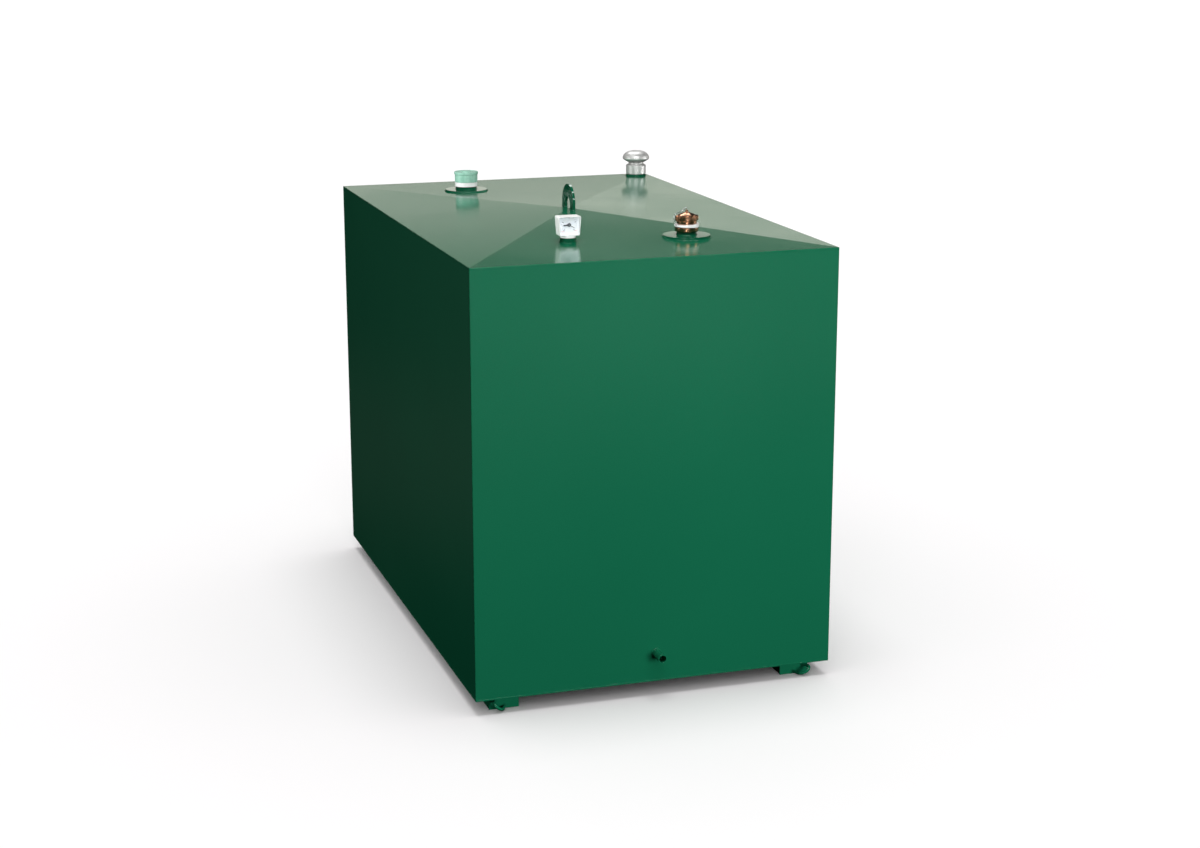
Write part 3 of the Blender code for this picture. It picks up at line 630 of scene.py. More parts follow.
def grow(tree, name, base, values):
    """Runs a tree on a base object and returns the result as a plain mesh object."""
    modifier = base.modifiers.new("grow", "NODES")
    modifier.node_group = tree
    for item in tree.interface.items_tree:
        if item.in_out == "INPUT" and item.name in values:
            modifier[item.identifier] = values[item.name]
    bpy.context.view_layer.update()
    evaluated = base.evaluated_get(bpy.context.evaluated_depsgraph_get())
    mesh = bpy.data.meshes.new_from_object(evaluated)
    mesh.name = name
    finish = mesh.materials[-1]
    mesh.materials.clear()
    mesh.materials.append(finish)
    base.modifiers.remove(modifier)
    bpy.data.objects.remove(base)
    print(name, "has", len(mesh.polygons), "faces")
    return in_scene(name, mesh)


def finish_tree(tree, ends, geometry, material):
    """Ends a tree in smooth shading, real geometry and its material."""
    smooth = add(tree, "GeometryNodeSetShadeSmooth", {"Geometry": geometry})
    real = add(tree, "GeometryNodeRealizeInstances", {"Geometry": smooth.outputs[0]})
    painted = add(tree, "GeometryNodeSetMaterial", {"Geometry": real.outputs[0], "Material": material})
    tree.links.new(painted.outputs[0], ends.inputs[0])


bead_tree, given, ends = new_tree(
    "weld_bead", {"Radius": "Float", "Ripple": "Float", "Depth": "Float", "Sides": "Int", "Paint": "Material"}
)
path = add(bead_tree, "GeometryNodeMeshToCurve", {"Mesh": given.outputs["Geometry"]})
step = calculate(bead_tree, "MULTIPLY", given.outputs["Ripple"], 0.3333)
even = add(bead_tree, "GeometryNodeResampleCurve", mode="LENGTH")
bead_tree.links.new(path.outputs[0], even.inputs["Curve"])
bead_tree.links.new(step, even.inputs["Length"])
travelled = add(bead_tree, "GeometryNodeSplineParameter").outputs["Length"]
turns = calculate(bead_tree, "DIVIDE", travelled, given.outputs["Ripple"])
wave = calculate(bead_tree, "SINE", calculate(bead_tree, "MULTIPLY", turns, math.tau), 0.0)
swell = calculate(bead_tree, "ADD", calculate(bead_tree, "MULTIPLY", wave, given.outputs["Depth"]), 1.0)
section = add(bead_tree, "GeometryNodeCurvePrimitiveCircle")
bead_tree.links.new(given.outputs["Sides"], section.inputs["Resolution"])
bead_tree.links.new(given.outputs["Radius"], section.inputs["Radius"])
swept = add(
    bead_tree, "GeometryNodeCurveToMesh",
    {"Curve": even.outputs[0], "Profile Curve": section.outputs[0], "Scale": swell, "Fill Caps": True},
)
finish_tree(bead_tree, ends, swept.outputs[0], given.outputs["Paint"])


def beads(name, paths, radius, ripple, depth=0.12, sides=8, paint=None, rings=()):
    """Weld beads along open paths and closed rings of points, as one piece."""
    points, edges = [], []
    for route in list(paths) + list(rings):
        first = len(points)
        points += [tuple(point) for point in route]
        edges += [(index, index + 1) for index in range(first, len(points) - 1)]
        if route in rings:
            edges.append((len(points) - 1, first))
    base = mesh_object(name + "_path", points, [], edges)
    paint = paint or fitting_green_painted_light
    values = {"Radius": radius, "Ripple": ripple, "Depth": depth, "Sides": sides, "Paint": paint}
    made = grow(bead_tree, name, base, values)
    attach(made, "tank")
    return made


# %% [markdown]
# ## Seams of the shell
# The six plates meet in corner welds that were ground almost flush and then painted over. They show as
# a thin line of light along the top edge, and they close the hairline gaps between the plates. Each seam
# is a slim bead sunk into the joint, so that less than a millimetre stands proud.

# %% Shell seams
front_low, front_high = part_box("front_plate")
shell_low, shell_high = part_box("bottom_plate")
west, east = shell_low.x, shell_high.x
south, north = shell_low.y, shell_high.y
SEAM = 0.0022
SUNK = 0.0014
top_joint, low_joint = ROOF_EDGE - SHEET, shell_low.z + SHEET

seam_rings = []
for height in (top_joint, low_joint):
    seam_rings.append([
        (west + SUNK, south + SUNK, height), (east - SUNK, south + SUNK, height),
        (east - SUNK, north - SUNK, height), (west + SUNK, north - SUNK, height),
    ])
seam_paths = []
for x, inwards in ((west, 1), (east, -1)):
    for y in (south + SHEET, north - SHEET):
        seam_paths.append([(x + inwards * SUNK, y, low_joint), (x + inwards * SUNK, y, top_joint)])
beads("shell_seams", seam_paths, SEAM, 0.009, 0.05, 6, plate_green, rings=seam_rings)

# %% [markdown]
# ## Beads round the fittings
# Each socket, flange and stub is welded where it meets a plate. The path of such a bead is a ring that
# follows the roof, so it dips where the roof falls away.

# %% Fitting welds
def round_steps(count):
    """Equal steps round a circle, as angles."""
    return [math.tau * step / count for step in range(count)]


def roof_ring(spot, radius, lift, count=72):
    ring = []
    for angle in round_steps(count):
        x, y = spot[0] + radius * math.cos(angle), spot[1] + radius * math.sin(angle)
        ring.append((x, y, roof_at(x, y) + lift))
    return ring


def flat_ring(spot, radius, height, count=72):
    return [
        (spot[0] + radius * math.cos(angle), spot[1] + radius * math.sin(angle), spot[2] + height)
        for angle in round_steps(count)
    ]


beads(
    "flange_welds", [], 0.0022, 0.0042, 0.14,
    rings=[roof_ring(FILL, 0.0702, 0.0002), roof_ring(DIP, 0.0702, 0.0002)],
)
beads(
    "socket_welds", [], 0.0016, 0.0032, 0.14,
    rings=[
        flat_ring(FILL, 0.0297, FLANGE_TOP + 0.0002), flat_ring(DIP, 0.0352, FLANGE_TOP + 0.0002),
        roof_ring(VENT, 0.0350, 0.0002), roof_ring(GAUGE, 0.0240, 0.0002),
    ],
)

# %% [markdown]
# ## The lifting eye
# A thick plate arch stands across the top of the roof for a crane hook. Its sawn edge was rounded with
# a grinder before painting, and that edge is what catches the lights as bright bands. The outline is an
# arch with a smaller arch cut out, and a Bevel modifier rounds both.

# %% Lifting eye
def arch(half_width, height, steps):
    """An arch with upright legs, as (y, z) from one foot to the other."""
    spring = height - half_width
    points = [(half_width, 0.0)]
    for step in range(steps + 1):
        angle = math.pi * step / steps
        points.append((half_width * math.cos(angle), spring + half_width * math.sin(angle)))
    return points + [(-half_width, 0.0)]


eye_low, eye_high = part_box("lifting_eye")
EYE_THICK = eye_high.x - eye_low.x
EYE_HALF = (eye_high.y - eye_low.y) / 2
EYE_TALL = eye_high.z - roof_high.z
HOLE_HALF, HOLE_TALL = 0.025, 0.0355
bm = bmesh.new()
sides = []
for x in (-EYE_THICK / 2, EYE_THICK / 2):
    rows = []
    for outline in (arch(EYE_HALF, EYE_TALL, 64), arch(HOLE_HALF, HOLE_TALL, 64)):
        row = []
        for y, z in outline:
            place = Vector((roof_centre.x + x, roof_centre.y + y, roof_high.z + z))
            if z == 0:
                place.z = roof_at(place.x, place.y) - 0.0004
            row.append(bm.verts.new(place))
        rows.append(row)
    sides.append(rows)
(outer_left, inner_left), (outer_right, inner_right) = sides
eye_rows = (
    (outer_left, inner_left), (outer_right, inner_right),
    (outer_left, outer_right), (inner_left, inner_right),
)
for a, b in eye_rows:
    for index in range(len(a) - 1):
        bm.faces.new((a[index], a[index + 1], b[index + 1], b[index]))
for end in (0, -1):
    bm.faces.new((outer_left[end], outer_right[end], inner_right[end], inner_left[end]))


def bevel(made, width, segments=3, angle=40.0):
    modifier = made.modifiers.new("rounded edges", "BEVEL")
    modifier.width = width
    modifier.segments = segments
    modifier.limit_method = "ANGLE"
    modifier.angle_limit = math.radians(angle)
    modifier.harden_normals = False


eye = tidy_mesh(bm, "lifting_eye_arch", 30)
bevel(eye, 0.0010)
settle(eye, fitting_green_painted_light, "tank", "green_paint", "lifting_eye")

foot_rings = []
for facing in (-1, 1):
    near, far = facing * HOLE_HALF, facing * EYE_HALF
    half = EYE_THICK / 2
    corners = [(-half, near), (half, near), (half, far), (-half, far)]
    ring = []
    for index, (x, y) in enumerate(corners):
        next_x, next_y = corners[(index + 1) % 4]
        for step in range(6):
            share = step / 6
            px = roof_centre.x + x + (next_x - x) * share
            py = roof_centre.y + y + (next_y - y) * share
            ring.append((px, py, roof_at(px, py)))
    foot_rings.append(ring)
beads("eye_welds", [], 0.0016, 0.0034, 0.14, rings=foot_rings)

# %% [markdown]
# ## The outlet
# A short pipe leaves the front plate just above the floor of the tank. It points straight forward, so
# its profile is turned about an axis laid on its side. The bead at its foot is a ring in the plate.

# %% Outlet
pipe_low, pipe_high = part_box("outlet_pipe")
OUTLET = Vector(((pipe_low.x + pipe_high.x) / 2, front_low.y, (pipe_low.z + pipe_high.z) / 2))
forward = Matrix.Rotation(math.radians(90), 3, "X")
stub = [
    (0.0135, 0.0520, 0.0007), (0.0135, -0.0120), (0.0107, -0.0120), (0.0107, 0.0520, 0.0005),
]
settle(
    turned("outlet_stub", stub, OUTLET, 96, turn=forward), fitting_green_painted_light, "tank", "green_paint",
    "outlet_pipe",
)
BEAD_RING = 0.0142
ring = [
    OUTLET + Vector((BEAD_RING * math.cos(angle), -0.0004, BEAD_RING * math.sin(angle)))
    for angle in round_steps(60)
]
outlet_weld = beads("outlet_weld_bead", [], 0.0021, 0.0034, 0.16, rings=[ring])
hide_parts("outlet_weld")

# %% [markdown]
# ## Skids and tie-down loops
# Two box sections carry the tank clear of the ground. Their ends are closed by plates, and on each
# plate a bar loop is welded for a strap. Its two feet stand slantwise on the plate, the outer one higher,
# and its arms come forward to a round end. The route is worked out in the loop's own plane and then
# laid along two directions in space, and a curve with a round bevel follows it.

# %% Skid ends and loops
def slab(name, low, high):
    bm = bmesh.new()
    bmesh.ops.create_cube(bm, size=1.0)
    bmesh.ops.scale(bm, vec=high - low, verts=bm.verts)
    bmesh.ops.translate(bm, vec=(low + high) / 2, verts=bm.verts)
    return tidy_mesh(bm, name)


BAR = 0.0045
PLAY = 0.0003
LOOP_REACH, LOOP_HALF, LOOP_SUNK = 0.044, 0.0174, 0.0065
LOOP_TURN, LOOP_SLANT = math.radians(25), math.radians(39)
for side in ("left", "right"):
    for end in ("front", "rear"):
        cap = f"{side}_skid_{end}_cap"
        low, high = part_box(cap)
        plate = slab(f"{side}_{end}_skid_end", low, high)
        bevel(plate, 0.0014, 3)
        settle(plate, fitting_green_painted_light, "tank", "green_paint", cap)

        loop = f"{side}_{end}_tie_down_loop"
        face_y = low.y if end == "front" else high.y
        out = Vector((-1 if side == "left" else 1, -1 if end == "front" else 1))
        out_dir = Vector((out.x * math.sin(LOOP_TURN), out.y * math.cos(LOOP_TURN), 0))
        across_dir = Vector((out.x * math.cos(LOOP_SLANT), 0, math.sin(LOOP_SLANT)))
        foot = Vector(((low.x + high.x) / 2, face_y + out.y * (BAR + PLAY), low.z + 0.003 + BAR))
        foot += LOOP_HALF * across_dir
        half_round = LOOP_REACH - 2 * BAR - LOOP_HALF
        flat = [(-LOOP_SUNK, -LOOP_HALF)]
        for index in range(31):
            angle = math.radians(6 * index - 90)
            flat.append((half_round + LOOP_HALF * math.cos(angle), LOOP_HALF * math.sin(angle)))
        flat.append((-LOOP_SUNK, LOOP_HALF))
        route = [foot + u * out_dir + v * across_dir for u, v in flat]
        curve = bpy.data.curves.new(loop + "_bar", "CURVE")
        curve.dimensions = "3D"
        curve.bevel_depth = BAR
        curve.bevel_resolution = 6
        curve.use_fill_caps = True
        spline = curve.splines.new("POLY")
        spline.points.add(len(route) - 1)
        for target, place in zip(spline.points, route):
            target.co = (*place, 1)
        bar = in_scene(loop + "_bar", curve)
        mesh = bpy.data.meshes.new_from_object(bar.evaluated_get(bpy.context.evaluated_depsgraph_get()))
        bpy.data.objects.remove(bar)
        bm = bmesh.new()
        bm.from_mesh(mesh)
        settle(tidy_mesh(bm, loop + "_bar", 60), fitting_green_painted_light, "tank", "green_paint", loop)

        welds = []
        for side_of_loop in (-1, 1):
            back_to_plate = (BAR + PLAY) / math.cos(LOOP_TURN) * out_dir
            centre = foot + side_of_loop * LOOP_HALF * across_dir - back_to_plate
            welds.append([
                centre + Vector((BAR * 1.15 * math.cos(angle), 0, BAR * 1.08 * math.sin(angle)))
                for angle in round_steps(24)
            ])
        beads(loop + "_welds", [], 0.0016, 0.0033, 0.16, rings=welds)

# %% [markdown]
# ## Welds under the tank
# The skids are stitched to the tank's floor with short welds, spaced along both of their sides, because
# one long weld would warp the plate. They are seen only from low down, but the same tree makes them.

# %% Stitch welds
STITCH, PITCH = 0.045, 0.190
stitches = []
for side in ("left", "right"):
    low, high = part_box(side + "_skid")
    for x in (low.x + 0.0008, high.x - 0.0008):
        count = int((high.y - low.y - 0.06) / PITCH) + 1
        first = (low.y + high.y) / 2 - PITCH * (count - 1) / 2
        for index in range(count):
            y = first + PITCH * index
            stitches.append([(x, y - STITCH / 2, high.z - 0.0006), (x, y + STITCH / 2, high.z - 0.0006)])
beads("skid_stitch_welds", stitches, 0.0026, 0.0042, 0.14, 8)

# %% [markdown]
# ## The float gauge
# A white plastic head stands on a screwed collar. It is a box that gets wider towards its top, with
# round edges and a shallow recess for the dial, and its front third is a separate lid, which shows as a
# fine groove round the sides. Box, lid and recess are made from one outline that is swept from back to
# front, because that gives the lid's lip, the groove and the recess in a single closed mesh.

# %% Gauge head
HEAD_LOW, HEAD_HIGH = 0.020, 0.0765
HEAD_LOW_WIDTH, HEAD_HIGH_WIDTH = 0.0607, 0.068
HEAD_DEPTH = 0.040
RECESS = 0.0100


def head_outline(inset, corner, steps=6):
    """The gauge head's outline as (x, z), its sides drawn in by `inset`, with round corners."""
    low, high = HEAD_LOW + inset, HEAD_HIGH - inset
    slope = (HEAD_HIGH_WIDTH - HEAD_LOW_WIDTH) / (HEAD_HIGH - HEAD_LOW)
    low_half = (HEAD_LOW_WIDTH + slope * inset) / 2 - inset
    high_half = (HEAD_HIGH_WIDTH - slope * inset) / 2 - inset
    points = []
    spots = ((high_half, high, 0), (-high_half, high, 90), (-low_half, low, 180), (low_half, low, 270))
    for x, z, start in spots:
        cx, cz = x - math.copysign(corner, x), z + (corner if z == low else -corner)
        for step in range(steps + 1):
            angle = math.radians(start + 90 * step / steps)
            points.append((cx + corner * math.cos(angle), cz + corner * math.sin(angle)))
    return points


def swept_box(name, sections, spot):
    """A closed mesh through outlines at several depths: (depth, inset, corner) from back to front."""
    bm = bmesh.new()
    rows = []
    for depth, inset, corner in sections:
        rows.append([bm.verts.new(Vector((x, depth, z)) + spot) for x, z in head_outline(inset, corner)])
    for first, second in zip(rows, rows[1:]):
        for index in range(len(first)):
            after = (index + 1) % len(first)
            bm.faces.new((first[index], first[after], second[after], second[index]))
    bm.faces.new(rows[0])
    bm.faces.new(rows[-1])
    return tidy_mesh(bm, name, 40)


back, front = HEAD_DEPTH / 2, -HEAD_DEPTH / 2
LIP = 0.0022
sections = [(back - 0.0035 * (1 - math.cos(math.radians(18 * s))),
             0.0035 * (1 - math.sin(math.radians(18 * s))), 0.0042) for s in range(6)]
groove = front + 0.0125
sections += [
    (groove + 0.0006, 0.0, 0.0042), (groove + 0.0004, 0.0005, 0.0040), (groove - 0.0004, 0.0005, 0.0040),
    (groove - 0.0006, 0.0, 0.0042),
]
sections += [(front + 0.0022 * (1 - math.sin(math.radians(18 * s))),
              0.0013 * (1 - math.cos(math.radians(18 * s))), 0.0042) for s in range(6)]
sections += [(front, LIP, 0.0018), (front + RECESS, LIP, 0.0018)]
head = swept_box("gauge_head", sections, GAUGE)
settle(head, white_plastic, "tank", "white_plastic", "gauge_housing")

collar = [
    (0, 0.0197), (0.0212, 0.0197), (0.0222, 0.0187, 0.0005), (0.0222, 0.0140, 0.0004), (0.0170, 0.0136),
    (0.0170, -0.0100), (0, -0.0100),
]
settle(turned("gauge_collar_nut", collar, GAUGE), white_plastic, "tank", "white_plastic", "gauge_collar")

# %% [markdown]
# ## The dial
# The dial is a printed plate behind a clear window. Its scale runs from empty at the lower left, over
# the top, to full at the lower right. The ticks repeat along an arc, so a tree places them: it takes
# points on an arc, puts a thin bar on each and turns it along its radius. The quarter marks are longer,
# and small red marks stand at both ends of the scale.

# %% Ticks by Geometry Nodes
def facing_outwards(tree, points, instance):
    """Puts an instance on every point, turned away from the centre."""
    where = add(tree, "GeometryNodeInputPosition").outputs[0]
    aligned = add(tree, "FunctionNodeAlignRotationToVector", {"Vector": where}, axis="X")
    placed = add(
        tree, "GeometryNodeInstanceOnPoints",
        {"Points": points, "Instance": instance, "Rotation": aligned.outputs[0]},
    )
    return placed.outputs[0]


ticks_tree, given, ends = new_tree(
    "dial_ticks",
    {"Count": "Int", "Radius": "Float", "Length": "Float", "Width": "Float", "Thickness": "Float",
     "Start": "Float", "Sweep": "Float", "Print": "Material"},
)
arc = add(ticks_tree, "GeometryNodeCurveArc")
for label, source in (("Resolution", "Count"), ("Radius", "Radius"), ("Start Angle", "Start"),
                      ("Sweep Angle", "Sweep")):
    ticks_tree.links.new(given.outputs[source], arc.inputs[label])
size = add(
    ticks_tree, "ShaderNodeCombineXYZ",
    {"X": given.outputs["Length"], "Y": given.outputs["Width"], "Z": given.outputs["Thickness"]},
)
tick = add(ticks_tree, "GeometryNodeMeshCube", {"Size": size.outputs[0]})
placed = facing_outwards(ticks_tree, arc.outputs[0], tick.outputs[0])
real = add(ticks_tree, "GeometryNodeRealizeInstances", {"Geometry": placed})
printed = add(
    ticks_tree, "GeometryNodeSetMaterial",
    {"Geometry": real.outputs[0], "Material": given.outputs["Print"]},
)
ticks_tree.links.new(printed.outputs[0], ends.inputs[0])

dial_low, dial_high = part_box("gauge_dial")
HUB = Vector((GAUGE.x, dial_low.y, GAUGE.z + 0.0514))
facing = Matrix.Translation(HUB) @ Matrix.Rotation(math.radians(90), 4, "X")
INK = 0.00012


def dial_print(name, count, radius, length, width, start, sweep, material):
    base = mesh_object(name + "_base", [(0, 0, 0)], [])
    values = {"Count": count, "Radius": radius, "Length": length, "Width": width, "Thickness": INK,
              "Start": math.radians(start), "Sweep": math.radians(sweep), "Print": material}
    made = grow(ticks_tree, name, base, values)
    made.data.transform(Matrix.Translation((0, 0, INK / 2)))
    made.data.transform(facing)
    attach(made, "tank")
    return made


dial_print("dial_quarter_ticks", 5, 0.0206, 0.0056, 0.0012, 225, -270, grey_print)
dial_print("dial_fine_ticks", 17, 0.0222, 0.0022, 0.0005, 225, -270, grey_print)


def dial_bars(name, bars, material):
    """Printed bars on the dial: (x, y, length, width, slant in degrees), measured from the hub."""
    bm = bmesh.new()
    for x, y, length, width, slant in bars:
        place = Matrix.Translation((x, y, INK / 2)) @ Matrix.Rotation(math.radians(slant), 4, "Z")
        bmesh.ops.create_cube(bm, size=1.0, matrix=facing @ place @ Matrix.Diagonal((length, width, INK, 1)))
    return settle(tidy_mesh(bm, name), material, "tank", "dial_paint")


dial_bars(
    "dial_end_marks", [(-0.0184, -0.0190, 0.0090, 0.0014, 0), (0.0200, -0.0175, 0.0060, 0.0014, 0)], red_print
)
dial_bars("dial_set_hand", [(0.0107, -0.0064, 0.0140, 0.0015, -31)], grey_print)

# %% Dial, hub and hand
for node_name, material in (("gauge_dial", dial_paint), ("gauge_window", window)):
    nodes[node_name].data.materials.clear()
    nodes[node_name].data.materials.append(material)

nose = [
    (0, 0.0032), (0.0012, 0.0031), (0.0019, 0.0026), (0.0020, 0.0020), (0.0020, -0.0012), (0, -0.0012),
]
settle(
    turned("gauge_hub_pin", nose, HUB, 48, turn=forward), bright_steel, "tank", "bright_steel",
    "gauge_spindle",
)

pointer_low, pointer_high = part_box("gauge_pointer")
HAND_BACK = HUB.y - pointer_high.y
HAND_THICK = pointer_high.y - pointer_low.y
HAND_ANGLE = math.radians(184)
bm = bmesh.new()
outline = []
for step in range(41):
    angle = math.radians(30 + 300 * step / 40)
    outline.append((0.0053 * math.cos(angle), 0.0053 * math.sin(angle)))
outline += [(0.0080, -0.0018), (0.0165, -0.0018), (0.0172, -0.0011), (0.0172, 0.0011), (0.0165, 0.0018),
            (0.0080, 0.0018)]
hole = [(0.0023 * math.cos(math.tau * s / 32), 0.0023 * math.sin(math.tau * s / 32)) for s in range(32)]
rows = []
for height in (HAND_BACK, HAND_BACK + HAND_THICK):
    rows.append([[bm.verts.new((x, y, height)) for x, y in ring] for ring in (outline, hole)])
for level in rows:
    loops = []
    for ring in level:
        loops += [bm.edges.new((ring[i], ring[(i + 1) % len(ring)])) for i in range(len(ring))]
    bmesh.ops.triangle_fill(bm, use_beauty=True, edges=loops)
for low_ring, high_ring in zip(*rows):
    for index in range(len(low_ring)):
        after = (index + 1) % len(low_ring)
        bm.faces.new((low_ring[index], low_ring[after], high_ring[after], high_ring[index]))
bm.transform(Matrix.Rotation(HAND_ANGLE, 4, "Z"))
bm.transform(Matrix.Translation(HUB) @ Matrix.Rotation(math.radians(90), 4, "X"))
hand = tidy_mesh(bm, "gauge_hand")
bevel(hand, 0.0002, 2)
settle(hand, black_plastic, "pointer", "black_plastic", "gauge_pointer")
print("gauge made")

# %% [markdown]
# ## The fill point
# A bronze adaptor screws onto the neck, with a fluted bronze cap on top. A white plastic strap is wound
# round between the two and holds the cap's chain. The grip of the cap is a ring of equal lands, so a
# tree places them: one land is a small rounded bar, and the tree repeats it round a circle.

# %% Bronze adaptor and straps
adaptor = [
    (0.0255, 0.0535, 0.0004), (0.0255, 0.0285), (0.0350, 0.0285, 0.0018), (0.0350, 0.0153, 0.0040),
    (0.0205, 0.0153), (0.0205, 0.0535, 0.0004),
]
settle(turned("fill_adaptor_ring", adaptor, FILL), bronze, "tank", "bronze", "fill_adaptor")

strap = [
    (0.0258, 0.0030), (0.0362, 0.0026, 0.0008), (0.0368, 0.0000), (0.0362, -0.0026, 0.0008),
    (0.0258, -0.0030),
]
for label, lean, lift, stands in (("lower", 2.4, 0.0321, ("fill_band",)), ("upper", -2.2, 0.0347, ())):
    tilt = Matrix.Rotation(math.radians(lean), 3, "Y") @ Matrix.Rotation(math.radians(-18), 3, "Z")
    made = turned(f"fill_strap_{label}", strap, FILL + Vector((0, 0, lift)), 96, turn=tilt)
    settle(made, white_plastic, "tank", "white_plastic", *stands)

# %% [markdown]
# ### The cap's lands
# The tree takes points on a circle and puts one bar on each, turned outwards. The bar is a cube that is
# subdivided until its edges are round, and the bars sink a little into the cap's wall.

# %% Lands by Geometry Nodes
lands_tree, given, ends = new_tree(
    "lands_in_a_ring",
    {"Count": "Int", "Radius": "Float", "Proud": "Float", "Width": "Float", "Height": "Float",
     "Finish": "Material"},
)
circle = add(lands_tree, "GeometryNodeMeshCircle")
lands_tree.links.new(given.outputs["Count"], circle.inputs["Vertices"])
lands_tree.links.new(given.outputs["Radius"], circle.inputs["Radius"])
size = add(
    lands_tree, "ShaderNodeCombineXYZ",
    {"X": given.outputs["Proud"], "Y": given.outputs["Width"], "Z": given.outputs["Height"]},
)
land = add(lands_tree, "GeometryNodeMeshCube", {"Size": size.outputs[0], "Vertices Z": 4, "Vertices Y": 3})
soft_land = add(
    lands_tree, "GeometryNodeSubdivisionSurface", {"Mesh": land.outputs[0], "Level": 2, "Edge Crease": 0.25}
)
placed = facing_outwards(lands_tree, circle.outputs[0], soft_land.outputs[0])
finish_tree(lands_tree, ends, placed, given.outputs["Finish"])


def lands(name, spot, turn, values, body):
    base = mesh_object(name + "_base", [(0, 0, 0)], [])
    made = grow(lands_tree, name, base, values)
    made.data.transform(Matrix.Translation(spot) @ Matrix.Rotation(turn, 4, "Z"))
    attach(made, body)
    return made


cap_profile = [
    (0, 0.0783), (0.0044, 0.0783, 0.0010), (0.0042, 0.0737), (0.0052, 0.0720, 0.0010),
    (0.0120, 0.0698, 0.0030), (0.0200, 0.0668, 0.0040), (0.0276, 0.0634, 0.0010),
    (0.0280, 0.0618, 0.0006), (0.0266, 0.0612), (0.0266, 0.0475), (0.0298, 0.0463, 0.0008),
    (0.0298, 0.0387, 0.0010), (0.0258, 0.0385), (0.0258, 0.0575), (0, 0.0575),
]
cap = turned("fill_cap_body", cap_profile, FILL, 128)
settle(cap, bronze, "screw_cap", "bronze", "fill_cap")
lands(
    "fill_cap_lands", FILL + Vector((0, 0, 0.0538)), math.radians(-18 - 7),
    {"Count": 16, "Radius": 0.0280, "Proud": 0.0040, "Width": 0.0080, "Height": 0.0146, "Finish": bronze},
    "screw_cap",
)

# %% [markdown]
# ### The cap's ears
# Two lugs on the cap give a spanner its hold. Each is a short rounded block, made from a cube with its
# outer end drawn in and all edges bevelled.

# %% Ears
for label, sign in (("left", -1), ("right", 1)):
    low = FILL + Vector((sign * 0.0235, -0.0060, 0.0455))
    high = FILL + Vector((sign * 0.0360, 0.0060, 0.0636))
    ear = slab(f"fill_cap_{label}_ear", Vector(map(min, low, high)), Vector(map(max, low, high)))
    for vertex in ear.data.vertices:
        if abs(vertex.co.x - FILL.x) > 0.030:
            vertex.co.y = FILL.y + (vertex.co.y - FILL.y) * 0.8
            if vertex.co.z > FILL.z + 0.055:
                vertex.co.z -= 0.0012
    bevel(ear, 0.0042, 4)
    settle(ear, bronze, "screw_cap", "bronze")

# %% [markdown]
# ### The chain
# A fine chain ties the cap to the strap, so that it can't be lost. Its links are all the same, and each
# is turned a quarter from the last, so a tree strings them along a path: it makes one link from a
# rounded rectangle, sets it on every point, lays it along the path and gives every other one its
# quarter turn. The chain is held at both ends.

# %% Chain by Geometry Nodes
chain_tree, given, ends = new_tree(
    "chain", {"Spacing": "Float", "Link Length": "Float", "Link Width": "Float", "Wire": "Float",
              "Steel": "Material"},
)
path = add(chain_tree, "GeometryNodeMeshToCurve", {"Mesh": given.outputs["Geometry"]})
even = add(chain_tree, "GeometryNodeResampleCurve", mode="LENGTH")
chain_tree.links.new(path.outputs[0], even.inputs["Curve"])
chain_tree.links.new(given.outputs["Spacing"], even.inputs["Length"])
frame_shape = add(
    chain_tree, "GeometryNodeCurvePrimitiveQuadrilateral",
    {"Width": given.outputs["Link Length"], "Height": given.outputs["Link Width"]},
)
bend = calculate(chain_tree, "MULTIPLY", given.outputs["Link Width"], 0.49)
bent = add(
    chain_tree, "GeometryNodeFilletCurve",
    {"Curve": frame_shape.outputs[0], "Radius": bend}, mode="POLY",
)
for entry in bent.inputs:
    if entry.name == "Count":
        entry.default_value = 3
wire = add(chain_tree, "GeometryNodeCurvePrimitiveCircle", {"Resolution": 6, "Radius": given.outputs["Wire"]})
link = add(
    chain_tree, "GeometryNodeCurveToMesh", {"Curve": bent.outputs[0], "Profile Curve": wire.outputs[0]}
)
along = add(chain_tree, "GeometryNodeInputTangent").outputs[0]
aligned = add(chain_tree, "FunctionNodeAlignRotationToVector", {"Vector": along}, axis="X")
order = add(chain_tree, "GeometryNodeInputIndex").outputs[0]
odd = calculate(chain_tree, "MODULO", order, 2.0)
quarter = calculate(chain_tree, "MULTIPLY", odd, math.radians(90))
twist = add(chain_tree, "FunctionNodeAxisAngleToRotation", {"Axis": (1, 0, 0), "Angle": quarter})
turned_link = add(
    chain_tree, "FunctionNodeRotateRotation",
    {"Rotation": aligned.outputs[0], "Rotate By": twist.outputs[0]}, rotation_space="LOCAL",
)
strung = add(
    chain_tree, "GeometryNodeInstanceOnPoints",
    {"Points": even.outputs[0], "Instance": link.outputs[0], "Rotation": turned_link.outputs[0]},
)
finish_tree(chain_tree, ends, strung.outputs[0], given.outputs["Steel"])

CHAIN_SIDE = math.radians(198)
chain_route = [
    (0.0000, 0.0795), (0.0006, 0.0831), (0.0040, 0.0851), (0.0108, 0.0813), (0.0200, 0.0750),
    (0.0305, 0.0731), (0.0400, 0.0707), (0.0462, 0.0645), (0.0472, 0.0565), (0.0460, 0.0485),
    (0.0432, 0.0410), (0.0405, 0.0367), (0.0380, 0.0351),
]
chain_points = [
    FILL + Vector((out * math.cos(CHAIN_SIDE), out * math.sin(CHAIN_SIDE), up)) for out, up in chain_route
]
chain_steps = [(index, index + 1) for index in range(len(chain_points) - 1)]
base = mesh_object("chain_path", [tuple(point) for point in chain_points], [], chain_steps)
chain = grow(
    chain_tree, "fill_cap_chain", base,
    {"Spacing": 0.0042, "Link Length": 0.0052, "Link Width": 0.0028, "Wire": 0.00058, "Steel": bright_steel},
)
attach(chain, "tank")
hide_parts("fill_chain")
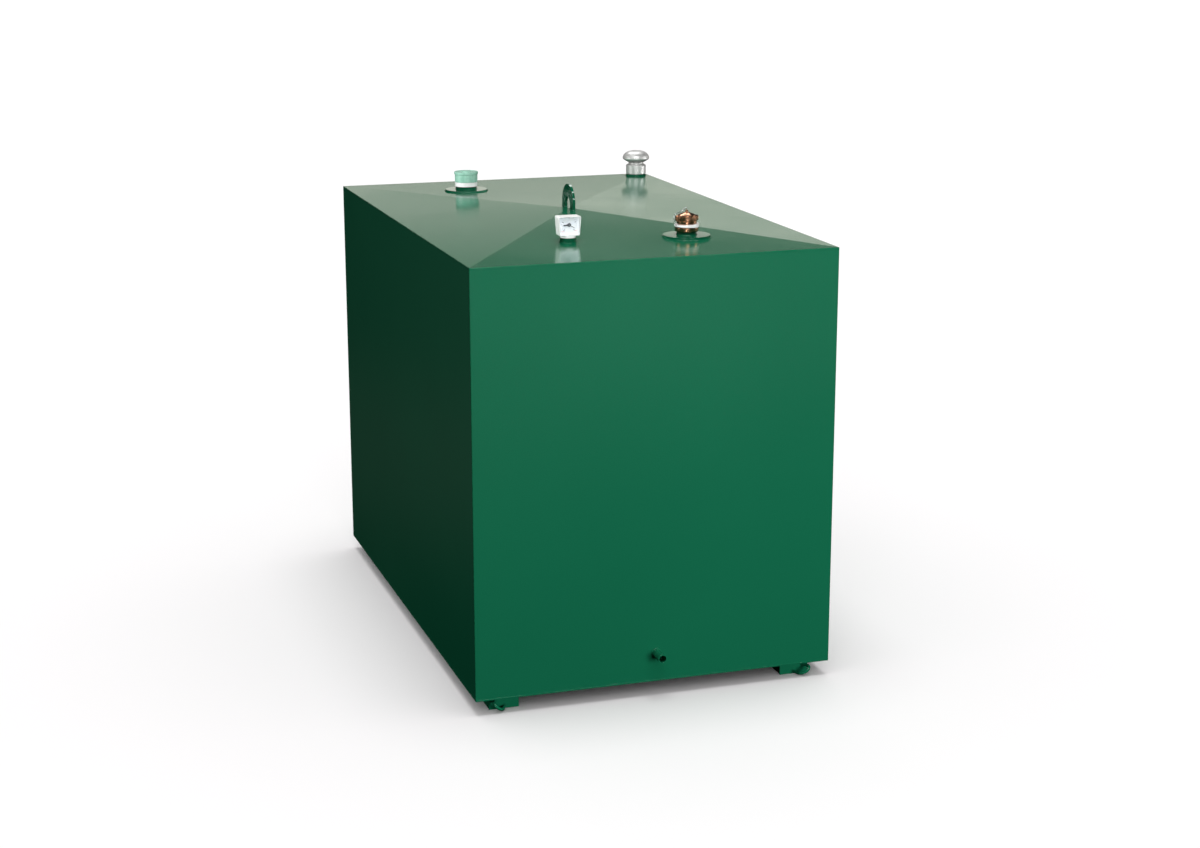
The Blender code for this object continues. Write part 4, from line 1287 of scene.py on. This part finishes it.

# %% [markdown]
# ## The vent
# A mushroom vent lets air in and out as the tank is filled and emptied. Both of its pieces are turned
# from aluminium, so they are profiles with soft curves. The hood's underside slopes inwards to a narrow
# neck, and the deep shade under its brim is what makes it read as a mushroom. Part of that shade is
# painted shade: the aluminium's colour is darkened under the brim.

# %% Vent
vent_body = [
    (0.0255, 0.0478), (0.0262, 0.0450), (0.0276, 0.0415, 0.0030), (0.0330, 0.0389, 0.0010),
    (0.0348, 0.0372, 0.0014), (0.0348, 0.0086, 0.0006), (0.0330, 0.0065, 0.0004), (0.0225, 0.0065),
    (0.0225, 0.0478),
]
settle(turned("vent_body_shell", vent_body, VENT), aluminium, "tank", "cast_aluminium", "vent_body")
hood = [
    (0, 0.0885), (0.0120, 0.0882), (0.0210, 0.0872), (0.0290, 0.0850, 0.0060), (0.0380, 0.0795, 0.0080),
    (0.0444, 0.0725, 0.0060), (0.0465, 0.0660, 0.0030), (0.0468, 0.0615, 0.0020), (0.0445, 0.0580, 0.0010),
    (0.0320, 0.0503), (0.0262, 0.0481), (0.0190, 0.0481), (0.0190, 0.0600), (0, 0.0600),
]
settle(turned("vent_mushroom_hood", hood, VENT, 128), aluminium, "tank", "cast_aluminium", "vent_hood")

# %% [markdown]
# ## The inspection fitting
# A pale green screw cap closes the dip hole, on a white ring. The ring has two fine grooves, and the
# cap has a lip round its top and very shallow grips, which show as soft upright bands of light. The
# same ring of lands makes the grips, only more of them and much flatter.

# %% Inspection ring and cap
ring_profile = [
    (0.0375, 0.0300, 0.0008), (0.0375, 0.0267), (0.0371, 0.0264), (0.0371, 0.0258), (0.0375, 0.0255),
    (0.0375, 0.0217), (0.0371, 0.0214), (0.0371, 0.0208), (0.0375, 0.0205), (0.0375, 0.0158, 0.0008),
    (0.0225, 0.0158), (0.0225, 0.0300),
]
settle(turned("dip_ring", ring_profile, DIP, 128), white_plastic, "tank", "white_plastic", "inspection_ring")
dip_profile = [
    (0, 0.0665), (0.0140, 0.0665, 0.0006), (0.0150, 0.0655, 0.0004), (0.0152, 0.0631, 0.0004),
    (0.0350, 0.0631, 0.0006), (0.0360, 0.0643, 0.0004), (0.0388, 0.0645, 0.0010), (0.0400, 0.0633, 0.0010),
    (0.0398, 0.0567, 0.0006), (0.0374, 0.0553, 0.0004), (0.0374, 0.0304, 0.0006), (0.0347, 0.0304),
    (0.0347, 0.0600), (0, 0.0600),
]
dip_cap = turned("dip_cap_body", dip_profile, DIP, 128)
settle(dip_cap, mint_plastic, "dip_cap", "mint_plastic", "inspection_cap")
lands(
    "dip_cap_grips", DIP + Vector((0, 0, 0.0429)), 0.0,
    {"Count": 20, "Radius": 0.0366, "Proud": 0.0024, "Width": 0.0088, "Height": 0.0236,
     "Finish": mint_plastic},
    "dip_cap",
)

# %% [markdown]
# ## Which light shines on what
# The green paint and the bright fittings want different light: a plate wants one even tone, and a turned
# metal piece wants upright softboxes to mirror. Pieces are sorted by their finish. The green ones on the
# roof are kept out of the light of the plates, and the outlet gets a strip of its own.

# %% Light groups
JUST_ABOVE = 0.0005

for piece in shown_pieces():
    lowest = min(corner[2] for corner in piece.bound_box)
    if "green" not in piece.data.materials[0].name:
        groups = ["bright"]
    elif lowest > roof_low.z + JUST_ABOVE:
        groups = ["green"]
    else:
        groups = ["green", "plates"]
    if piece.name.startswith("outlet"):
        groups.append("outlet")
    for group in groups:
        shone_on[group].objects.link(piece)
